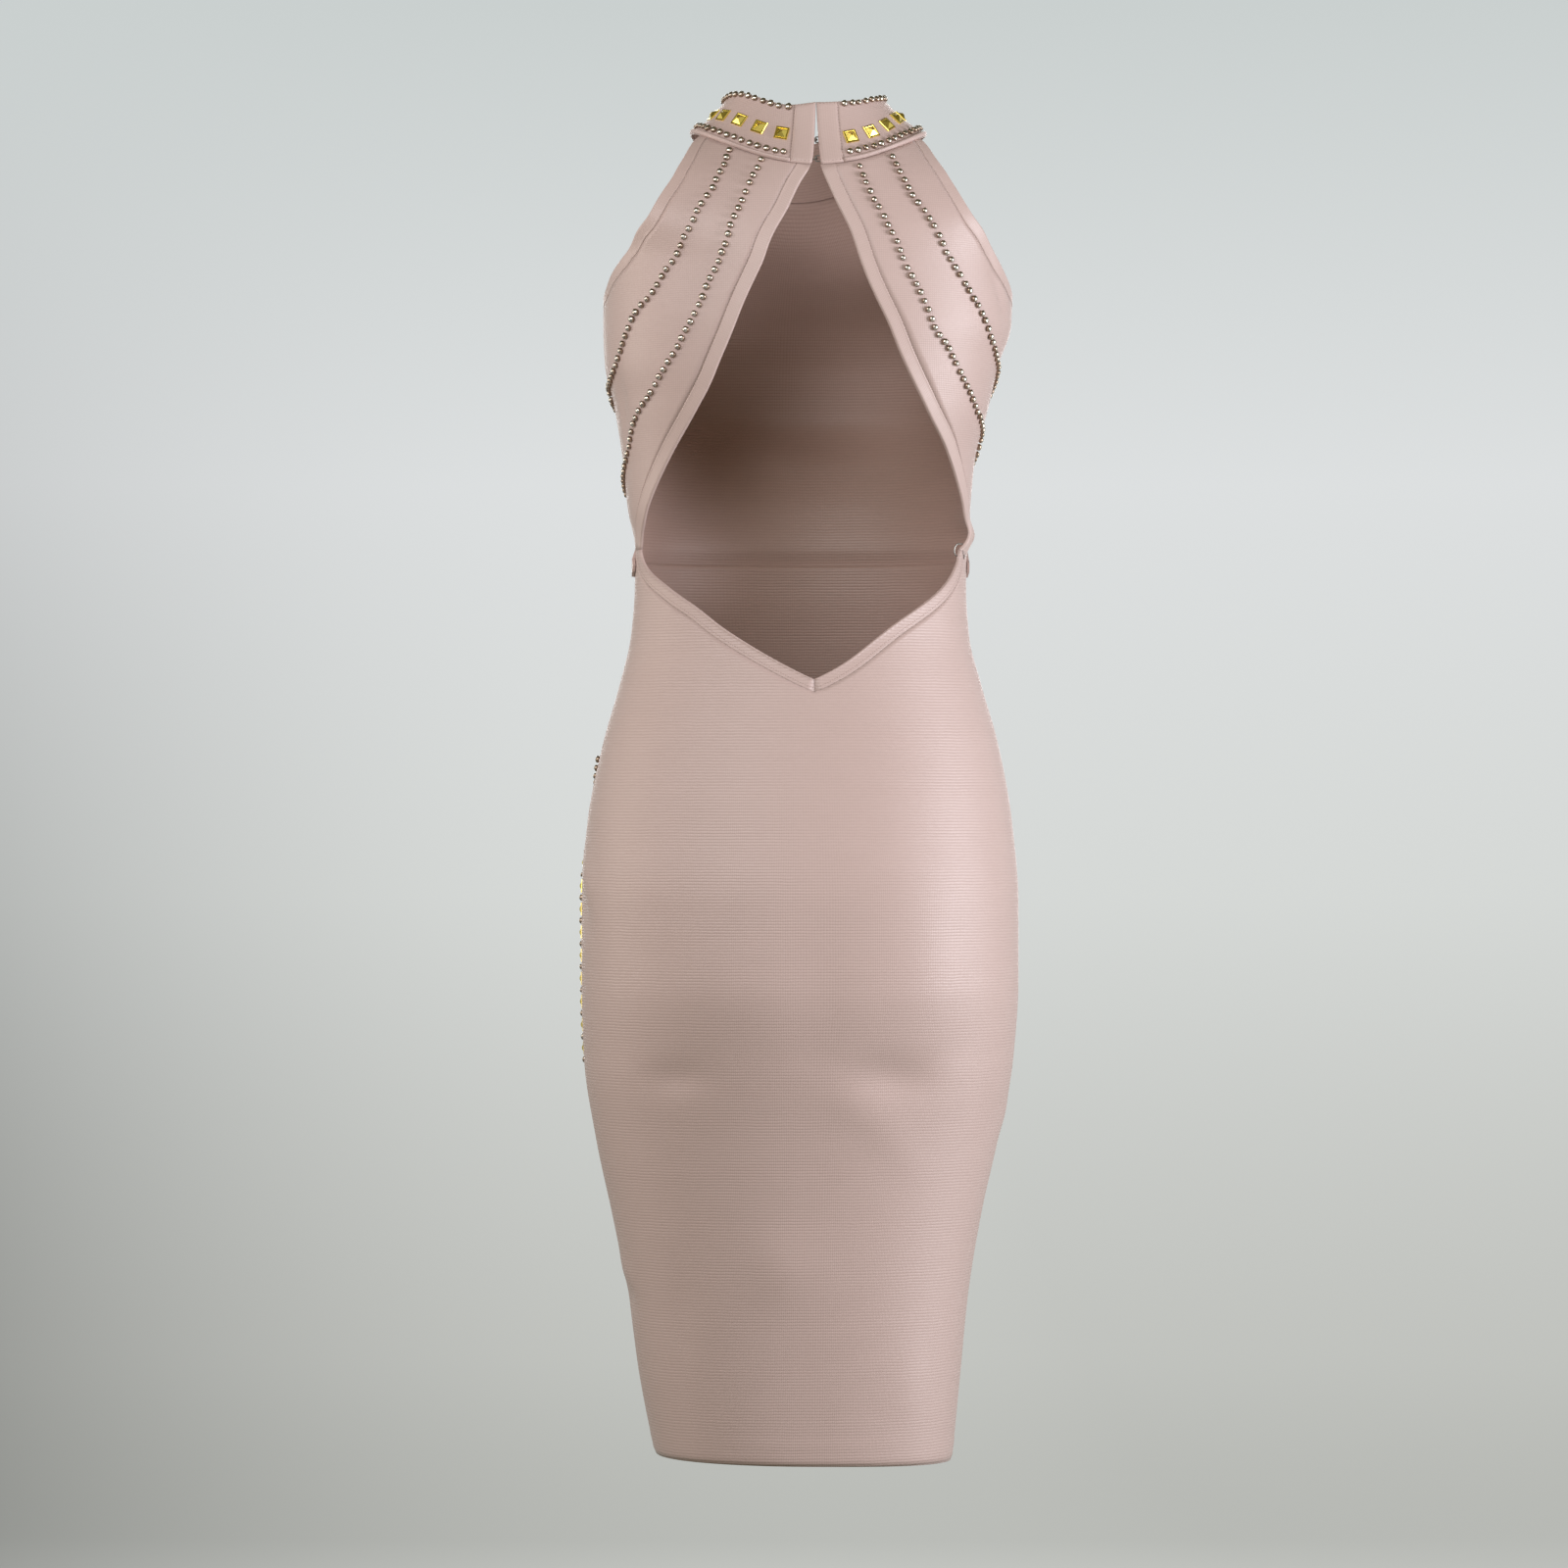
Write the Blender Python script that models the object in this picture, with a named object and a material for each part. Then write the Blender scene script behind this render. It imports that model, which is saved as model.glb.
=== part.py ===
"""Halter-neck bodycon dress with an open back, worn by a general figure.

Metres, +Z up. The wearer faces -Y and the wearer's left is +X. The origin is in the middle of the
neck, at the height where the collar is sewn on, because the dress is held up there.

Every piece lies on one smooth form. A place on it is a pair (turn, level): turn is the angle round
the body in degrees, 0 at the wearer's left side, 90 at the centre back, 180 at the right side and
-90 at the centre front; level is the height at which that ring of the form crosses the centre back.
Each piece of cloth is a wall lofted between a plain inside sheet on the form and an outside sheet,
which each point's own height raises into studs, piping and welts.
"""

import math
from collections import namedtuple

import bmesh
import bpy
import numpy as np
from mathutils import Vector

# ---------------------------------------------------------------- driving dimensions
CLOTH = 0.0018  # one layer of rayon bandage knit
BAND_CLOTH = 0.0022  # the folded strips that finish the edges
WELT = 0.0030  # height of the raised welt between a strip and its panel
SEAM = 0.0003  # pieces stay this far apart where they are sewn
STRIP_SEAM = 0.0004  # beside a strip, whose welt stands out further
THIN_TOP = 0.0012  # the cloth is pressed thin where it goes into the collar seam
COLLAR_SEAM = 0.0008

COLLAR_CLOTH = 0.0022
PIPING = 0.0034  # height of the corded lower edge of the collar
PIPING_TOP = 0.05  # where the cord ends, as a share of the collar's height
PIPING_SHOULDER = 0.12  # and where the plain cloth begins above it
TOP_FOLD = 0.94  # from here up the cloth thins towards the folded top edge
STUD_SIZE = 0.0098
STUD_PITCH = 0.0168
STUD_FIRST = 0.0076  # from a tab to the middle of its nearest stud
STUD_HEIGHT = 0.0030  # pyramid tip over the cloth
STUD_LINE = 0.475  # height of the row of studs, as a share of the collar's height
STUD_DIP = 0.088  # how much lower the row runs beside the right tab
STUD_DIP_FLAT = 0.06  # how far round from that tab it stays so low, as a share of the whole way
STUD_DIP_RISE = 0.12  # and over how long a share it rises again
COLLAR_SAG = 0.0015  # how far the collar is hollow between its two edges

ARMHOLE_STRIP = 0.0088
OPENING_STRIP = 0.0098
WAIST_STRIP = 0.0088
STRIP_SHARES = (0.0, 0.45, 0.84, 1.0)  # rows across a strip: its edge, its flat middle, its welt
ROLLED_EDGE = 0.8  # a strip's free edge is rolled down to this share of its thickness
TAB_EDGE = 0.7  # the same for the rim of a collar tab

ARMHOLE_STEPS = 14  # from the collar to the side seam, and again from there to the collar
SEAM_STEPS = 14  # down the side seam, from the armhole to the strap's foot
DIP_STEPS = 14  # from the strap's foot to the tip of the dip
STRAP_COLUMNS = 8
BODICE_ROWS = 13
NECK_COLUMNS = 9  # across the bodice front under the collar
SKIRT_ROWS = 21
SKIRT_FRONT_COLUMNS = 22
CLOSER_AT_WAIST = 1.35  # the rows of the skirt are closer where the waist curves in

LAP_START = -0.2875  # below this the bodice front steps out over the skirt
LAP_GAP = 0.0006
Lap = namedtuple("Lap", "level wrap")  # wrap: degrees that the lapped cloth reaches round the side
LAP_ROWS = [
    Lap(-0.2945, 0.0),
    Lap(-0.2962, 2.2),
    Lap(-0.2995, 4.0),
    Lap(-0.3035, 2.6),
    Lap(-0.3070, -2.5),
]
SKIRT_FRONT_TOP = -0.2958
STRAP_FOOT = -0.2885  # where the back straps meet the skirt
HEM = -0.9365  # at the wearer's right, the lowest place
HEM_TILT = 0.0050  # how much higher it is at the wearer's left

SAG_OF_STRAP = 0.0055  # the right strap stands off the body just above the waist
SAG_MIDDLE = -0.2775
SAG_HALF_HEIGHT = 0.0085
SAG_HALF_TURN = 26.0

WIRE = 0.0005  # radius of the wire of the hooks, the eyes and the waist loop
BEND_STEP = 30  # degrees between the points of a bend
FASTENINGS = (0.12, 0.42)  # where the hooks are, as shares of the collar's height
EYE_HEIGHT = 0.0042
EYE_REACH = 0.0110  # how far the eye's legs run under the right tab
EYE_CORNER = 0.0007
HOOK_REACH = 0.0120  # how far the hook's shank runs under the left tab
HOOK_DROP = 0.0070  # from here the shank drops inwards, behind the eye
HOOK_LIP = 0.0013
LOOP_TURN = 158.0  # the waist loop's bend
LOOP_BEND = 2.6  # its reach past that, in degrees
LOOP_LEG_TURN = 163.5
LOOP_HALF_HEIGHT = 0.0041

# The form, ring by ring. Widths and depths are to the outside of the cloth.
Ring = namedtuple("Ring", "back_height side_height front_height left right middle back front square")
COLLAR_TOP = Ring(0.0240, 0.0318, 0.0040, 0.0557, 0.0558, 0.018, 0.0720, -0.034, 2.00)
FORM = [
    Ring(-0.0214, 0.0052, -0.0360, 0.0791, 0.0841, 0.024, 0.0880, -0.0460, 2.00),  # collar seam
    Ring(-0.0450, -0.0120, -0.0660, 0.1280, 0.1320, 0.016, 0.0945, -0.0660, 2.05),
    Ring(-0.0700, -0.0420, -0.0880, 0.1560, 0.1600, 0.008, 0.0995, -0.0860, 2.10),
    Ring(-0.0940, -0.0800, -0.1050, 0.1410, 0.1508, 0.003, 0.1015, -0.1020, 2.20),
    Ring(-0.1250, -0.1250, -0.1250, 0.1415, 0.1500, 0.000, 0.1010, -0.1160, 2.30),  # armpit
    Ring(-0.1550, -0.1550, -0.1550, 0.1403, 0.1407, 0.000, 0.0985, -0.1260, 2.30),
    Ring(-0.1850, -0.1850, -0.1850, 0.1335, 0.1336, 0.000, 0.0940, -0.1280, 2.30),  # bust
    Ring(-0.2240, -0.2240, -0.2240, 0.1276, 0.1238, 0.000, 0.0855, -0.1080, 2.20),
    Ring(-0.2590, -0.2590, -0.2590, 0.1241, 0.1206, 0.000, 0.0790, -0.0930, 2.15),
    Ring(-0.2870, -0.2870, -0.2870, 0.1189, 0.1181, 0.000, 0.0765, -0.0875, 2.10),  # waist
    Ring(-0.3150, -0.3150, -0.3150, 0.1192, 0.1178, 0.000, 0.0785, -0.0875, 2.10),
    Ring(-0.3500, -0.3500, -0.3500, 0.1220, 0.1200, 0.000, 0.0830, -0.0905, 2.10),
    Ring(-0.3850, -0.3850, -0.3850, 0.1301, 0.1287, 0.000, 0.0895, -0.0945, 2.15),
    Ring(-0.4270, -0.4270, -0.4270, 0.1420, 0.1406, 0.000, 0.0985, -0.0990, 2.20),
    Ring(-0.4830, -0.4830, -0.4830, 0.1530, 0.1505, 0.000, 0.1110, -0.1020, 2.20),
    Ring(-0.5390, -0.5390, -0.5390, 0.1572, 0.1547, 0.000, 0.1195, -0.1020, 2.25),  # hips
    Ring(-0.5950, -0.5950, -0.5950, 0.1572, 0.1547, 0.000, 0.1205, -0.0995, 2.25),
    Ring(-0.6510, -0.6510, -0.6510, 0.1554, 0.1512, 0.000, 0.1120, -0.0955, 2.20),
    Ring(-0.7070, -0.7070, -0.7070, 0.1470, 0.1406, 0.000, 0.1015, -0.0905, 2.20),
    Ring(-0.7630, -0.7630, -0.7630, 0.1350, 0.1280, 0.000, 0.0940, -0.0860, 2.25),
    Ring(-0.8190, -0.8190, -0.8190, 0.1238, 0.1188, 0.000, 0.0885, -0.0825, 2.30),
    Ring(-0.8750, -0.8750, -0.8750, 0.1160, 0.1132, 0.000, 0.0840, -0.0790, 2.35),
    Ring(-0.9365, -0.9365, -0.9365, 0.1040, 0.1072, 0.000, 0.0800, -0.0760, 2.40),  # hem
]

# Edges of the cut pieces as places on the form. The left and the right are not quite alike.
Place = namedtuple("Place", "turn level")
ARMHOLE = {
    "left": [
        Place(21.0, -0.0249), Place(37.5, -0.0382), Place(43.6, -0.0551), Place(42.9, -0.0711),
        Place(33.6, -0.0831), Place(21.1, -0.0958), Place(11.6, -0.1034), Place(5.5, -0.1085),
        Place(0.0, -0.1112), Place(-9.0, -0.1105), Place(-20.0, -0.1035), Place(-33.5, -0.0882),
        Place(-46.0, -0.0620), Place(-45.0, -0.0420), Place(-40.0, -0.0240),
    ],
    "right": [
        Place(157.0, -0.0241), Place(142.0, -0.0360), Place(136.0, -0.0500), Place(134.9, -0.0686),
        Place(141.9, -0.0809), Place(150.4, -0.0918), Place(158.2, -0.1009), Place(166.5, -0.1075),
        Place(180.0, -0.1118), Place(190.0, -0.1108), Place(201.0, -0.1035), Place(217.0, -0.0867),
        Place(226.0, -0.0620), Place(225.0, -0.0420), Place(220.0, -0.0240),
    ],
}
OPENING = {
    "left": [
        Place(87.9, -0.0234), Place(85.0, -0.0340), Place(82.0, -0.0585), Place(77.4, -0.0865),
        Place(62.8, -0.1672), Place(54.0, -0.1940), Place(42.4, -0.2207), Place(20.5, -0.2677),
        Place(13.5, -0.2800), Place(10.5, -0.2885),
    ],
    "right": [
        Place(93.6, -0.0241), Place(97.0, -0.0580), Place(100.0, -0.0857), Place(103.4, -0.1126),
        Place(108.9, -0.1394), Place(116.1, -0.1663), Place(125.8, -0.1931), Place(140.2, -0.2195),
        Place(152.0, -0.2440), Place(161.0, -0.2620), Place(165.5, -0.2740), Place(164.0, -0.2820),
        Place(158.5, -0.2885),
    ],
}
WAIST_DIP = {
    "left": [
        Place(10.5, -0.2888), Place(12.5, -0.2940), Place(34.6, -0.3167), Place(48.8, -0.3309),
        Place(59.5, -0.3449), Place(90.0, -0.3816),
    ],
    "right": [
        Place(158.5, -0.2888), Place(157.8, -0.2940), Place(154.5, -0.3012), Place(116.8, -0.3447),
        Place(98.0, -0.3716), Place(90.0, -0.3816),
    ],
}
DIP_TURN = 90.0
PANEL_TOP = FORM[0].back_height - COLLAR_SEAM  # level at which the panels start under the collar

# The collar's top edge isn't quite level on the left: it rises at the side and dips beside the tab.
Wave = namedtuple("Wave", "turn rise")
COLLAR_WAVE = [
    Wave(-60.0, 0.0), Wave(0.0, -0.0010), Wave(34.0, 0.0027), Wave(72.0, -0.0024), Wave(92.0, 0.0),
]

# Edges of the two closure tabs at the collar's foot and top, across from the centre plane
Tab = namedtuple("Tab", "inner_foot inner_top outer_foot outer_top")
TABS = {
    "left": Tab(0.0029, -0.0030, 0.0167, 0.0114),
    "right": Tab(-0.0058, -0.0034, -0.0212, -0.0179),
}
TAB_CLOTH = 0.0030

SIDE_SEAM = {"left": 0.0, "right": 180.0}
HAND = {"left": 1, "right": -1}
HALF_SEAM_TURN = 0.08  # half of a seam's gap at a side, in degrees
TIP_SEAM_TURN = 0.05  # the same at the dip's mitre


# ---------------------------------------------------------------- the form
def column_slopes(places, values):
    """Slopes of a smooth curve through the values that never overshoots them."""
    steps = np.diff(places)
    rises = np.diff(values) / steps
    slopes = np.zeros(len(values))
    slopes[0], slopes[-1] = rises[0], rises[-1]
    for i in range(1, len(values) - 1):
        if rises[i - 1] * rises[i] > 0:
            before = 2 * steps[i] + steps[i - 1]
            after = steps[i] + 2 * steps[i - 1]
            slopes[i] = (before + after) / (before / rises[i - 1] + after / rises[i])
    return slopes


def smooth_value(places, values, slopes, at):
    """The smooth curve's value at one place, held level past the ends."""
    at = min(max(at, places[0]), places[-1])
    i = min(int(np.searchsorted(places, at, side="right")) - 1, len(places) - 2)
    step = places[i + 1] - places[i]
    t = (at - places[i]) / step
    return (
        (1 + 2 * t) * (1 - t) ** 2 * values[i]
        + t * (1 - t) ** 2 * step * slopes[i]
        + t * t * (3 - 2 * t) * values[i + 1]
        + t * t * (t - 1) * step * slopes[i + 1]
    )


FORM_LEVELS = np.array([ring.back_height for ring in reversed(FORM)])
FORM_COLUMNS = {name: np.array([getattr(ring, name) for ring in reversed(FORM)]) for name in Ring._fields}
FORM_SLOPES = {name: column_slopes(FORM_LEVELS, values) for name, values in FORM_COLUMNS.items()}


def ring_at(level):
    """The form's ring at a level, between the rows of the table."""
    return Ring(*(smooth_value(FORM_LEVELS, FORM_COLUMNS[n], FORM_SLOPES[n], level) for n in Ring._fields))


def ring_point(ring, turn, cloth):
    """A point on a ring, inside the cloth."""
    c, s = math.cos(math.radians(turn)), math.sin(math.radians(turn))
    power = 2 / ring.square
    half = (ring.left if c >= 0 else ring.right) - cloth
    reach = (ring.back - ring.middle if s >= 0 else ring.middle - ring.front) - cloth
    end_height = ring.back_height if s >= 0 else ring.front_height
    return Vector(
        (
            math.copysign(half * abs(c) ** power, c),
            ring.middle + math.copysign(reach * abs(s) ** power, s),
            ring.side_height + (end_height - ring.side_height) * s * s,
        )
    )


def strap_sag(turn, level):
    """How far the right strap and the bodice beside it stand off the body."""
    from_side = (turn % 360 - SIDE_SEAM["right"]) / SAG_HALF_TURN
    down = (level - SAG_MIDDLE) / SAG_HALF_HEIGHT
    return SAG_OF_STRAP * math.exp(-(down**2) - from_side**2)


def on_form(place):
    """The point of the form at (turn, level), inside the cloth."""
    turn, level = place
    point = ring_point(ring_at(level), turn, CLOTH)
    point.x -= strap_sag(turn, level)
    return point


def outward_at(place):
    """The direction straight out of the form."""
    along, down = slopes_at(place)
    return along.cross(down).normalized()


def slopes_at(place, turn_step=0.5, level_step=0.0005):
    """How the form's point moves per degree of turn and per metre of level."""
    turn, level = place
    low = max(level - level_step, HEM)
    high = min(level + level_step, FORM[0].back_height)
    along = (on_form((turn + turn_step, level)) - on_form((turn - turn_step, level))) / (2 * turn_step)
    down = (on_form((turn, high)) - on_form((turn, low))) / (high - low)
    return along, down


# ---------------------------------------------------------------- edges on the form
def lengths_along(places):
    """Length of the edge from its start to each of its places."""
    points = [on_form(place) for place in places]
    steps = [0.0] + [(b - a).length for a, b in zip(points, points[1:])]
    return np.cumsum(steps)


def curve_through(places, count):
    """A smooth edge through the places, in count equal steps."""
    along = lengths_along(places)
    turns = np.array([p[0] for p in places])
    levels = np.array([p[1] for p in places])
    turn_slopes = column_slopes(along, turns)
    level_slopes = column_slopes(along, levels)
    return [
        (smooth_value(along, turns, turn_slopes, at), smooth_value(along, levels, level_slopes, at))
        for at in np.linspace(0.0, along[-1], count + 1)
    ]


def moved_in(places, distance):
    """The edge moved sideways on the form: to the left of its own direction, seen from outside."""
    moved = []
    last = len(places) - 1
    for i, place in enumerate(places):
        ahead = on_form(places[min(i + 1, last)])
        behind = on_form(places[max(i - 1, 0)])
        along, down = slopes_at(place)
        shift = outward_at(place).cross(ahead - behind).normalized() * distance
        basis = np.array([list(along), list(down)]).T
        turn_shift, level_shift = np.linalg.lstsq(basis, np.array(list(shift)), rcond=None)[0]
        moved.append((place[0] + turn_shift, place[1] + level_shift))
    return moved


def ended_at_level(places, level, end):
    """The edge with its first (end=0) or last (end=-1) place slid along it to a level."""
    near, next_one = (places[0], places[1]) if end == 0 else (places[-1], places[-2])
    share = (level - next_one[1]) / (near[1] - next_one[1])
    slid = (next_one[0] + share * (near[0] - next_one[0]), level)
    return [slid] + places[1:] if end == 0 else places[:-1] + [slid]


def ended_at_turn(places, turn):
    """The edge with its last place slid along it to a turn, which mitres it there."""
    near, next_one = places[-1], places[-2]
    share = (turn - next_one[0]) / (near[0] - next_one[0])
    return places[:-1] + [(turn, next_one[1] + share * (near[1] - next_one[1]))]


def between(first, second, shares):
    """Rows of places between two edges of the same count."""
    return [
        [(a[0] + (b[0] - a[0]) * share, a[1] + (b[1] - a[1]) * share) for a, b in zip(first, second)]
        for share in shares
    ]


# ---------------------------------------------------------------- walls of cloth
def split_quad(corners, heights):
    """A flat quad as it is, and one with a raised corner as two triangles that meet at it."""
    if max(heights) - min(heights) < 1e-6:
        return [corners]
    top = heights.index(max(heights))
    a, b, c, d = corners[top:] + corners[:top]
    return [[a, b, c], [a, c, d]]


def cloth_wall(name, inside, outside, heights, material, collection):
    """One closed wall of cloth, lofted between a plain inside sheet and a raised outside sheet."""
    rows, columns = len(inside), len(inside[0])
    wall = bmesh.new()
    inner = [[wall.verts.new(point) for point in row] for row in inside]
    outer = [[wall.verts.new(point) for point in row] for row in outside]
    for i in range(rows - 1):
        for j in range(columns - 1):
            spots = [(i, j), (i, j + 1), (i + 1, j + 1), (i + 1, j)]
            for face in split_quad([outer[a][b] for a, b in spots], [heights[a][b] for a, b in spots]):
                wall.faces.new(face)
            wall.faces.new([inner[a][b] for a, b in reversed(spots)])
    rim = [(0, j) for j in range(columns)] + [(i, columns - 1) for i in range(1, rows)]
    rim += [(rows - 1, j) for j in range(columns - 2, -1, -1)] + [(i, 0) for i in range(rows - 2, 0, -1)]
    for (a, b), (c, d) in zip(rim, rim[1:] + rim[:1]):
        wall.faces.new([outer[a][b], inner[a][b], inner[c][d], outer[c][d]])
    bmesh.ops.recalc_face_normals(wall, faces=wall.faces[:])
    mesh = bpy.data.meshes.new(name)
    wall.to_mesh(mesh)
    wall.free()
    mesh.shade_smooth()
    mesh.set_sharp_from_angle(angle=math.radians(40))
    mesh.materials.append(material)
    obj = bpy.data.objects.new(name, mesh)
    collection.objects.link(obj)
    return obj


def sewn_wall(name, places, heights, material, collection, lifts=None):
    """A wall whose inside lies on the form, or lifted off it row by row, at the given places."""
    lifts = lifts or [0.0] * len(places)
    inside, outside = [], []
    for row, row_heights, lift in zip(places, heights, lifts):
        out = [outward_at(place) for place in row]
        inside.append([on_form(place) + o * lift for place, o in zip(row, out)])
        outside.append([on_form(place) + o * (lift + h) for place, o, h in zip(row, out, row_heights)])
    return cloth_wall(name, inside, outside, heights, material, collection)


def strip_heights(columns, ends):
    """Heights of a strip: its free edge rolled, its welt raised, its collar ends pressed thin."""
    profile = [ROLLED_EDGE * BAND_CLOTH, BAND_CLOTH, BAND_CLOTH, WELT]
    rows = [[height] * columns for height in profile]
    for end in ends:
        for row in rows:
            row[end] = THIN_TOP
    return rows


# ---------------------------------------------------------------- the edges of the pieces
def armhole_edge(side, distance):
    """The armhole from the collar at the back, under the arm, to the collar at the front."""
    knots = ARMHOLE[side]
    under_arm = next(i for i, knot in enumerate(knots) if knot.turn == SIDE_SEAM[side])
    edge = curve_through(knots[: under_arm + 1], ARMHOLE_STEPS)
    edge += curve_through(knots[under_arm:], ARMHOLE_STEPS)[1:]
    if distance:
        edge = moved_in(edge, HAND[side] * distance)
    edge = ended_at_level(edge, PANEL_TOP, 0)
    return ended_at_level(edge, PANEL_TOP, -1)


def opening_edge(side, distance):
    """The side of the open back from the collar tab down to the strap's foot."""
    edge = curve_through(OPENING[side], ARMHOLE_STEPS + SEAM_STEPS)
    if distance:
        edge = moved_in(edge, -HAND[side] * distance)
    edge = ended_at_level(edge, PANEL_TOP, 0)
    return ended_at_level(edge, STRAP_FOOT, -1)


def dip_edge(side, distance, mitre):
    """The skirt's edge from the strap's foot down to the tip of the dip at the centre back."""
    edge = curve_through(WAIST_DIP[side], DIP_STEPS)
    if distance:
        edge = moved_in(edge, -HAND[side] * distance)
    edge = ended_at_level(edge, STRAP_FOOT - SEAM, 0)
    return ended_at_turn(edge, mitre)


def split_under_arm(edge, side):
    """The armhole edge in two at the side seam: the back's part and the front's part."""
    seam = SIDE_SEAM[side]
    gap = HAND[side] * HALF_SEAM_TURN
    level = edge[ARMHOLE_STEPS][1]
    back = edge[:ARMHOLE_STEPS] + [(seam + gap, level)]
    front = [(seam - gap, level)] + edge[ARMHOLE_STEPS + 1 :]
    return back, front


# ---------------------------------------------------------------- the collar
WAVE_TURNS = np.array([wave.turn for wave in COLLAR_WAVE])
WAVE_RISES = np.array([wave.rise for wave in COLLAR_WAVE])
WAVE_SLOPES = column_slopes(WAVE_TURNS, WAVE_RISES)


def collar_point(turn, share):
    """A point inside the collar, share 0 at its foot and 1 at its top, hollow in between."""
    foot = ring_point(FORM[0], turn, COLLAR_CLOTH)
    top = ring_point(COLLAR_TOP, turn, COLLAR_CLOTH)
    top.z += smooth_value(WAVE_TURNS, WAVE_RISES, WAVE_SLOPES, turn)
    point = foot.lerp(top, share)
    outward = Vector((point.x, point.y - FORM[0].middle, 0.0)).normalized()
    return point - outward * COLLAR_SAG * math.sin(math.pi * share)


def collar_outward(turn, share):
    """The direction straight out of the collar."""
    along = collar_point(turn + 0.5, share) - collar_point(turn - 0.5, share)
    up = collar_point(turn, share + 0.02) - collar_point(turn, share - 0.02)
    return along.cross(up).normalized()


def collar_wall(name, spots, heights, material, collection):
    """A wall on the collar, at spots (turn, share of the height)."""
    inside = [[collar_point(*spot) for spot in row] for row in spots]
    outside = [
        [point + collar_outward(*spot) * height for point, spot, height in zip(*rows)]
        for rows in zip(inside, spots, heights)
    ]
    return cloth_wall(name, inside, outside, heights, material, collection)


def collar_turn(across, share):
    """The turn at which the back of the collar is so far across from the centre plane."""
    side = "left" if across >= 0 else "right"
    half = (1 - share) * getattr(FORM[0], side) + share * getattr(COLLAR_TOP, side) - COLLAR_CLOTH
    return math.degrees(math.acos(across / half))


def tab_line(side, edge, share):
    """How far across a tab's inner or outer edge is, at a share of the collar's height."""
    foot, top = getattr(TABS[side], edge + "_foot"), getattr(TABS[side], edge + "_top")
    return foot + (top - foot) * share


def collar_height():
    """The collar's height at the centre back, along its slope."""
    return (collar_point(DIP_TURN, 1.0) - collar_point(DIP_TURN, 0.0)).length


StudColumn = namedtuple("StudColumn", "share is_middle")
CollarRow = namedtuple("CollarRow", "share height beside_studs has_tips")


def stud_drop(way):
    """How much lower the row of studs is, this share of the way round from the left tab."""
    rise = min(max((1.0 - way - STUD_DIP_FLAT) / STUD_DIP_RISE, 0.0), 1.0)
    return STUD_DIP * (1.0 - rise * rise * (3.0 - 2.0 * rise))


def stud_columns(samples=361):
    """Columns of the collar from tab to tab, as shares of its turn: each stud's sides and middle."""
    lowest = STUD_LINE - STUD_DIP
    start = collar_turn(tab_line("left", "outer", STUD_LINE), STUD_LINE)
    stop = collar_turn(tab_line("right", "outer", lowest), lowest) - 360
    shares = np.linspace(0.0, 1.0, samples)
    points = [
        collar_point(start + (stop - start) * share, STUD_LINE - stud_drop(share)) for share in shares
    ]
    along = np.cumsum([0.0] + [(b - a).length for a, b in zip(points, points[1:])])
    count = round((along[-1] - 2 * STUD_FIRST) / STUD_PITCH) + 1
    columns = [StudColumn(0.0, False)]
    for middle in np.linspace(STUD_FIRST, along[-1] - STUD_FIRST, count):
        for offset in (-STUD_SIZE / 2, 0.0, STUD_SIZE / 2):
            share = float(np.interp(middle + offset, along, shares))
            columns.append(StudColumn(share, offset == 0.0))
    return columns + [StudColumn(1.0, False)]


def collar_rows():
    """Rows of the collar from its corded foot to its folded top edge."""
    half_stud = STUD_SIZE / 2 / collar_height()
    return [
        CollarRow(0.0, PIPING, False, False),
        CollarRow(PIPING_TOP, PIPING, False, False),
        CollarRow(PIPING_SHOULDER, COLLAR_CLOTH, False, False),
        CollarRow(STUD_LINE - half_stud, COLLAR_CLOTH, True, False),
        CollarRow(STUD_LINE, COLLAR_CLOTH, True, True),
        CollarRow(STUD_LINE + half_stud, COLLAR_CLOTH, True, False),
        CollarRow(TOP_FOLD, COLLAR_CLOTH, False, False),
        CollarRow(1.0, THIN_TOP, False, False),
    ]


def build_collar(material, collection):
    """The stand collar, one band round the neck, with its row of studs raised on it."""
    columns = stud_columns()
    spots, heights = [], []
    for row in collar_rows():
        shares = [row.share - (stud_drop(c.share) if row.beside_studs else 0.0) for c in columns]
        first = collar_turn(tab_line("left", "outer", shares[0]) + SEAM, shares[0])
        last = collar_turn(tab_line("right", "outer", shares[-1]) - SEAM, shares[-1]) - 360
        spots.append([(first + (last - first) * c.share, share) for c, share in zip(columns, shares)])
        tips = [STUD_HEIGHT if row.has_tips and column.is_middle else 0.0 for column in columns]
        heights.append([row.height + tip for tip in tips])
    return collar_wall("collar", spots, heights, material, collection)


def build_tab(side, material, collection):
    """One folded end of the collar, which carries the hooks or the eyes on its inside."""
    shares = [0.0, 0.08, 0.35, 0.65, 0.92, 1.0]
    across = [0.0, 0.15, 0.5, 0.85, 1.0]
    spots, heights = [], []
    for share in shares:
        outer, inner = tab_line(side, "outer", share), tab_line(side, "inner", share)
        spots.append([(collar_turn(outer + (inner - outer) * a, share), share) for a in across])
        on_rim = [share in (0.0, 1.0) or a in (0.0, 1.0) for a in across]
        heights.append([TAB_EDGE * TAB_CLOTH if rim else TAB_CLOTH for rim in on_rim])
    return collar_wall(f"collar_tab_{side}", spots, heights, material, collection)


# ---------------------------------------------------------------- the body of the dress
def build_armhole_strip(side, material, collection):
    """The folded strip round one armhole, from the collar under the arm to the collar."""
    rows = [armhole_edge(side, share * ARMHOLE_STRIP) for share in STRIP_SHARES]
    heights = strip_heights(len(rows[0]), ends=(0, -1))
    return sewn_wall(f"armhole_strip_{side}", rows, heights, material, collection)


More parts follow.
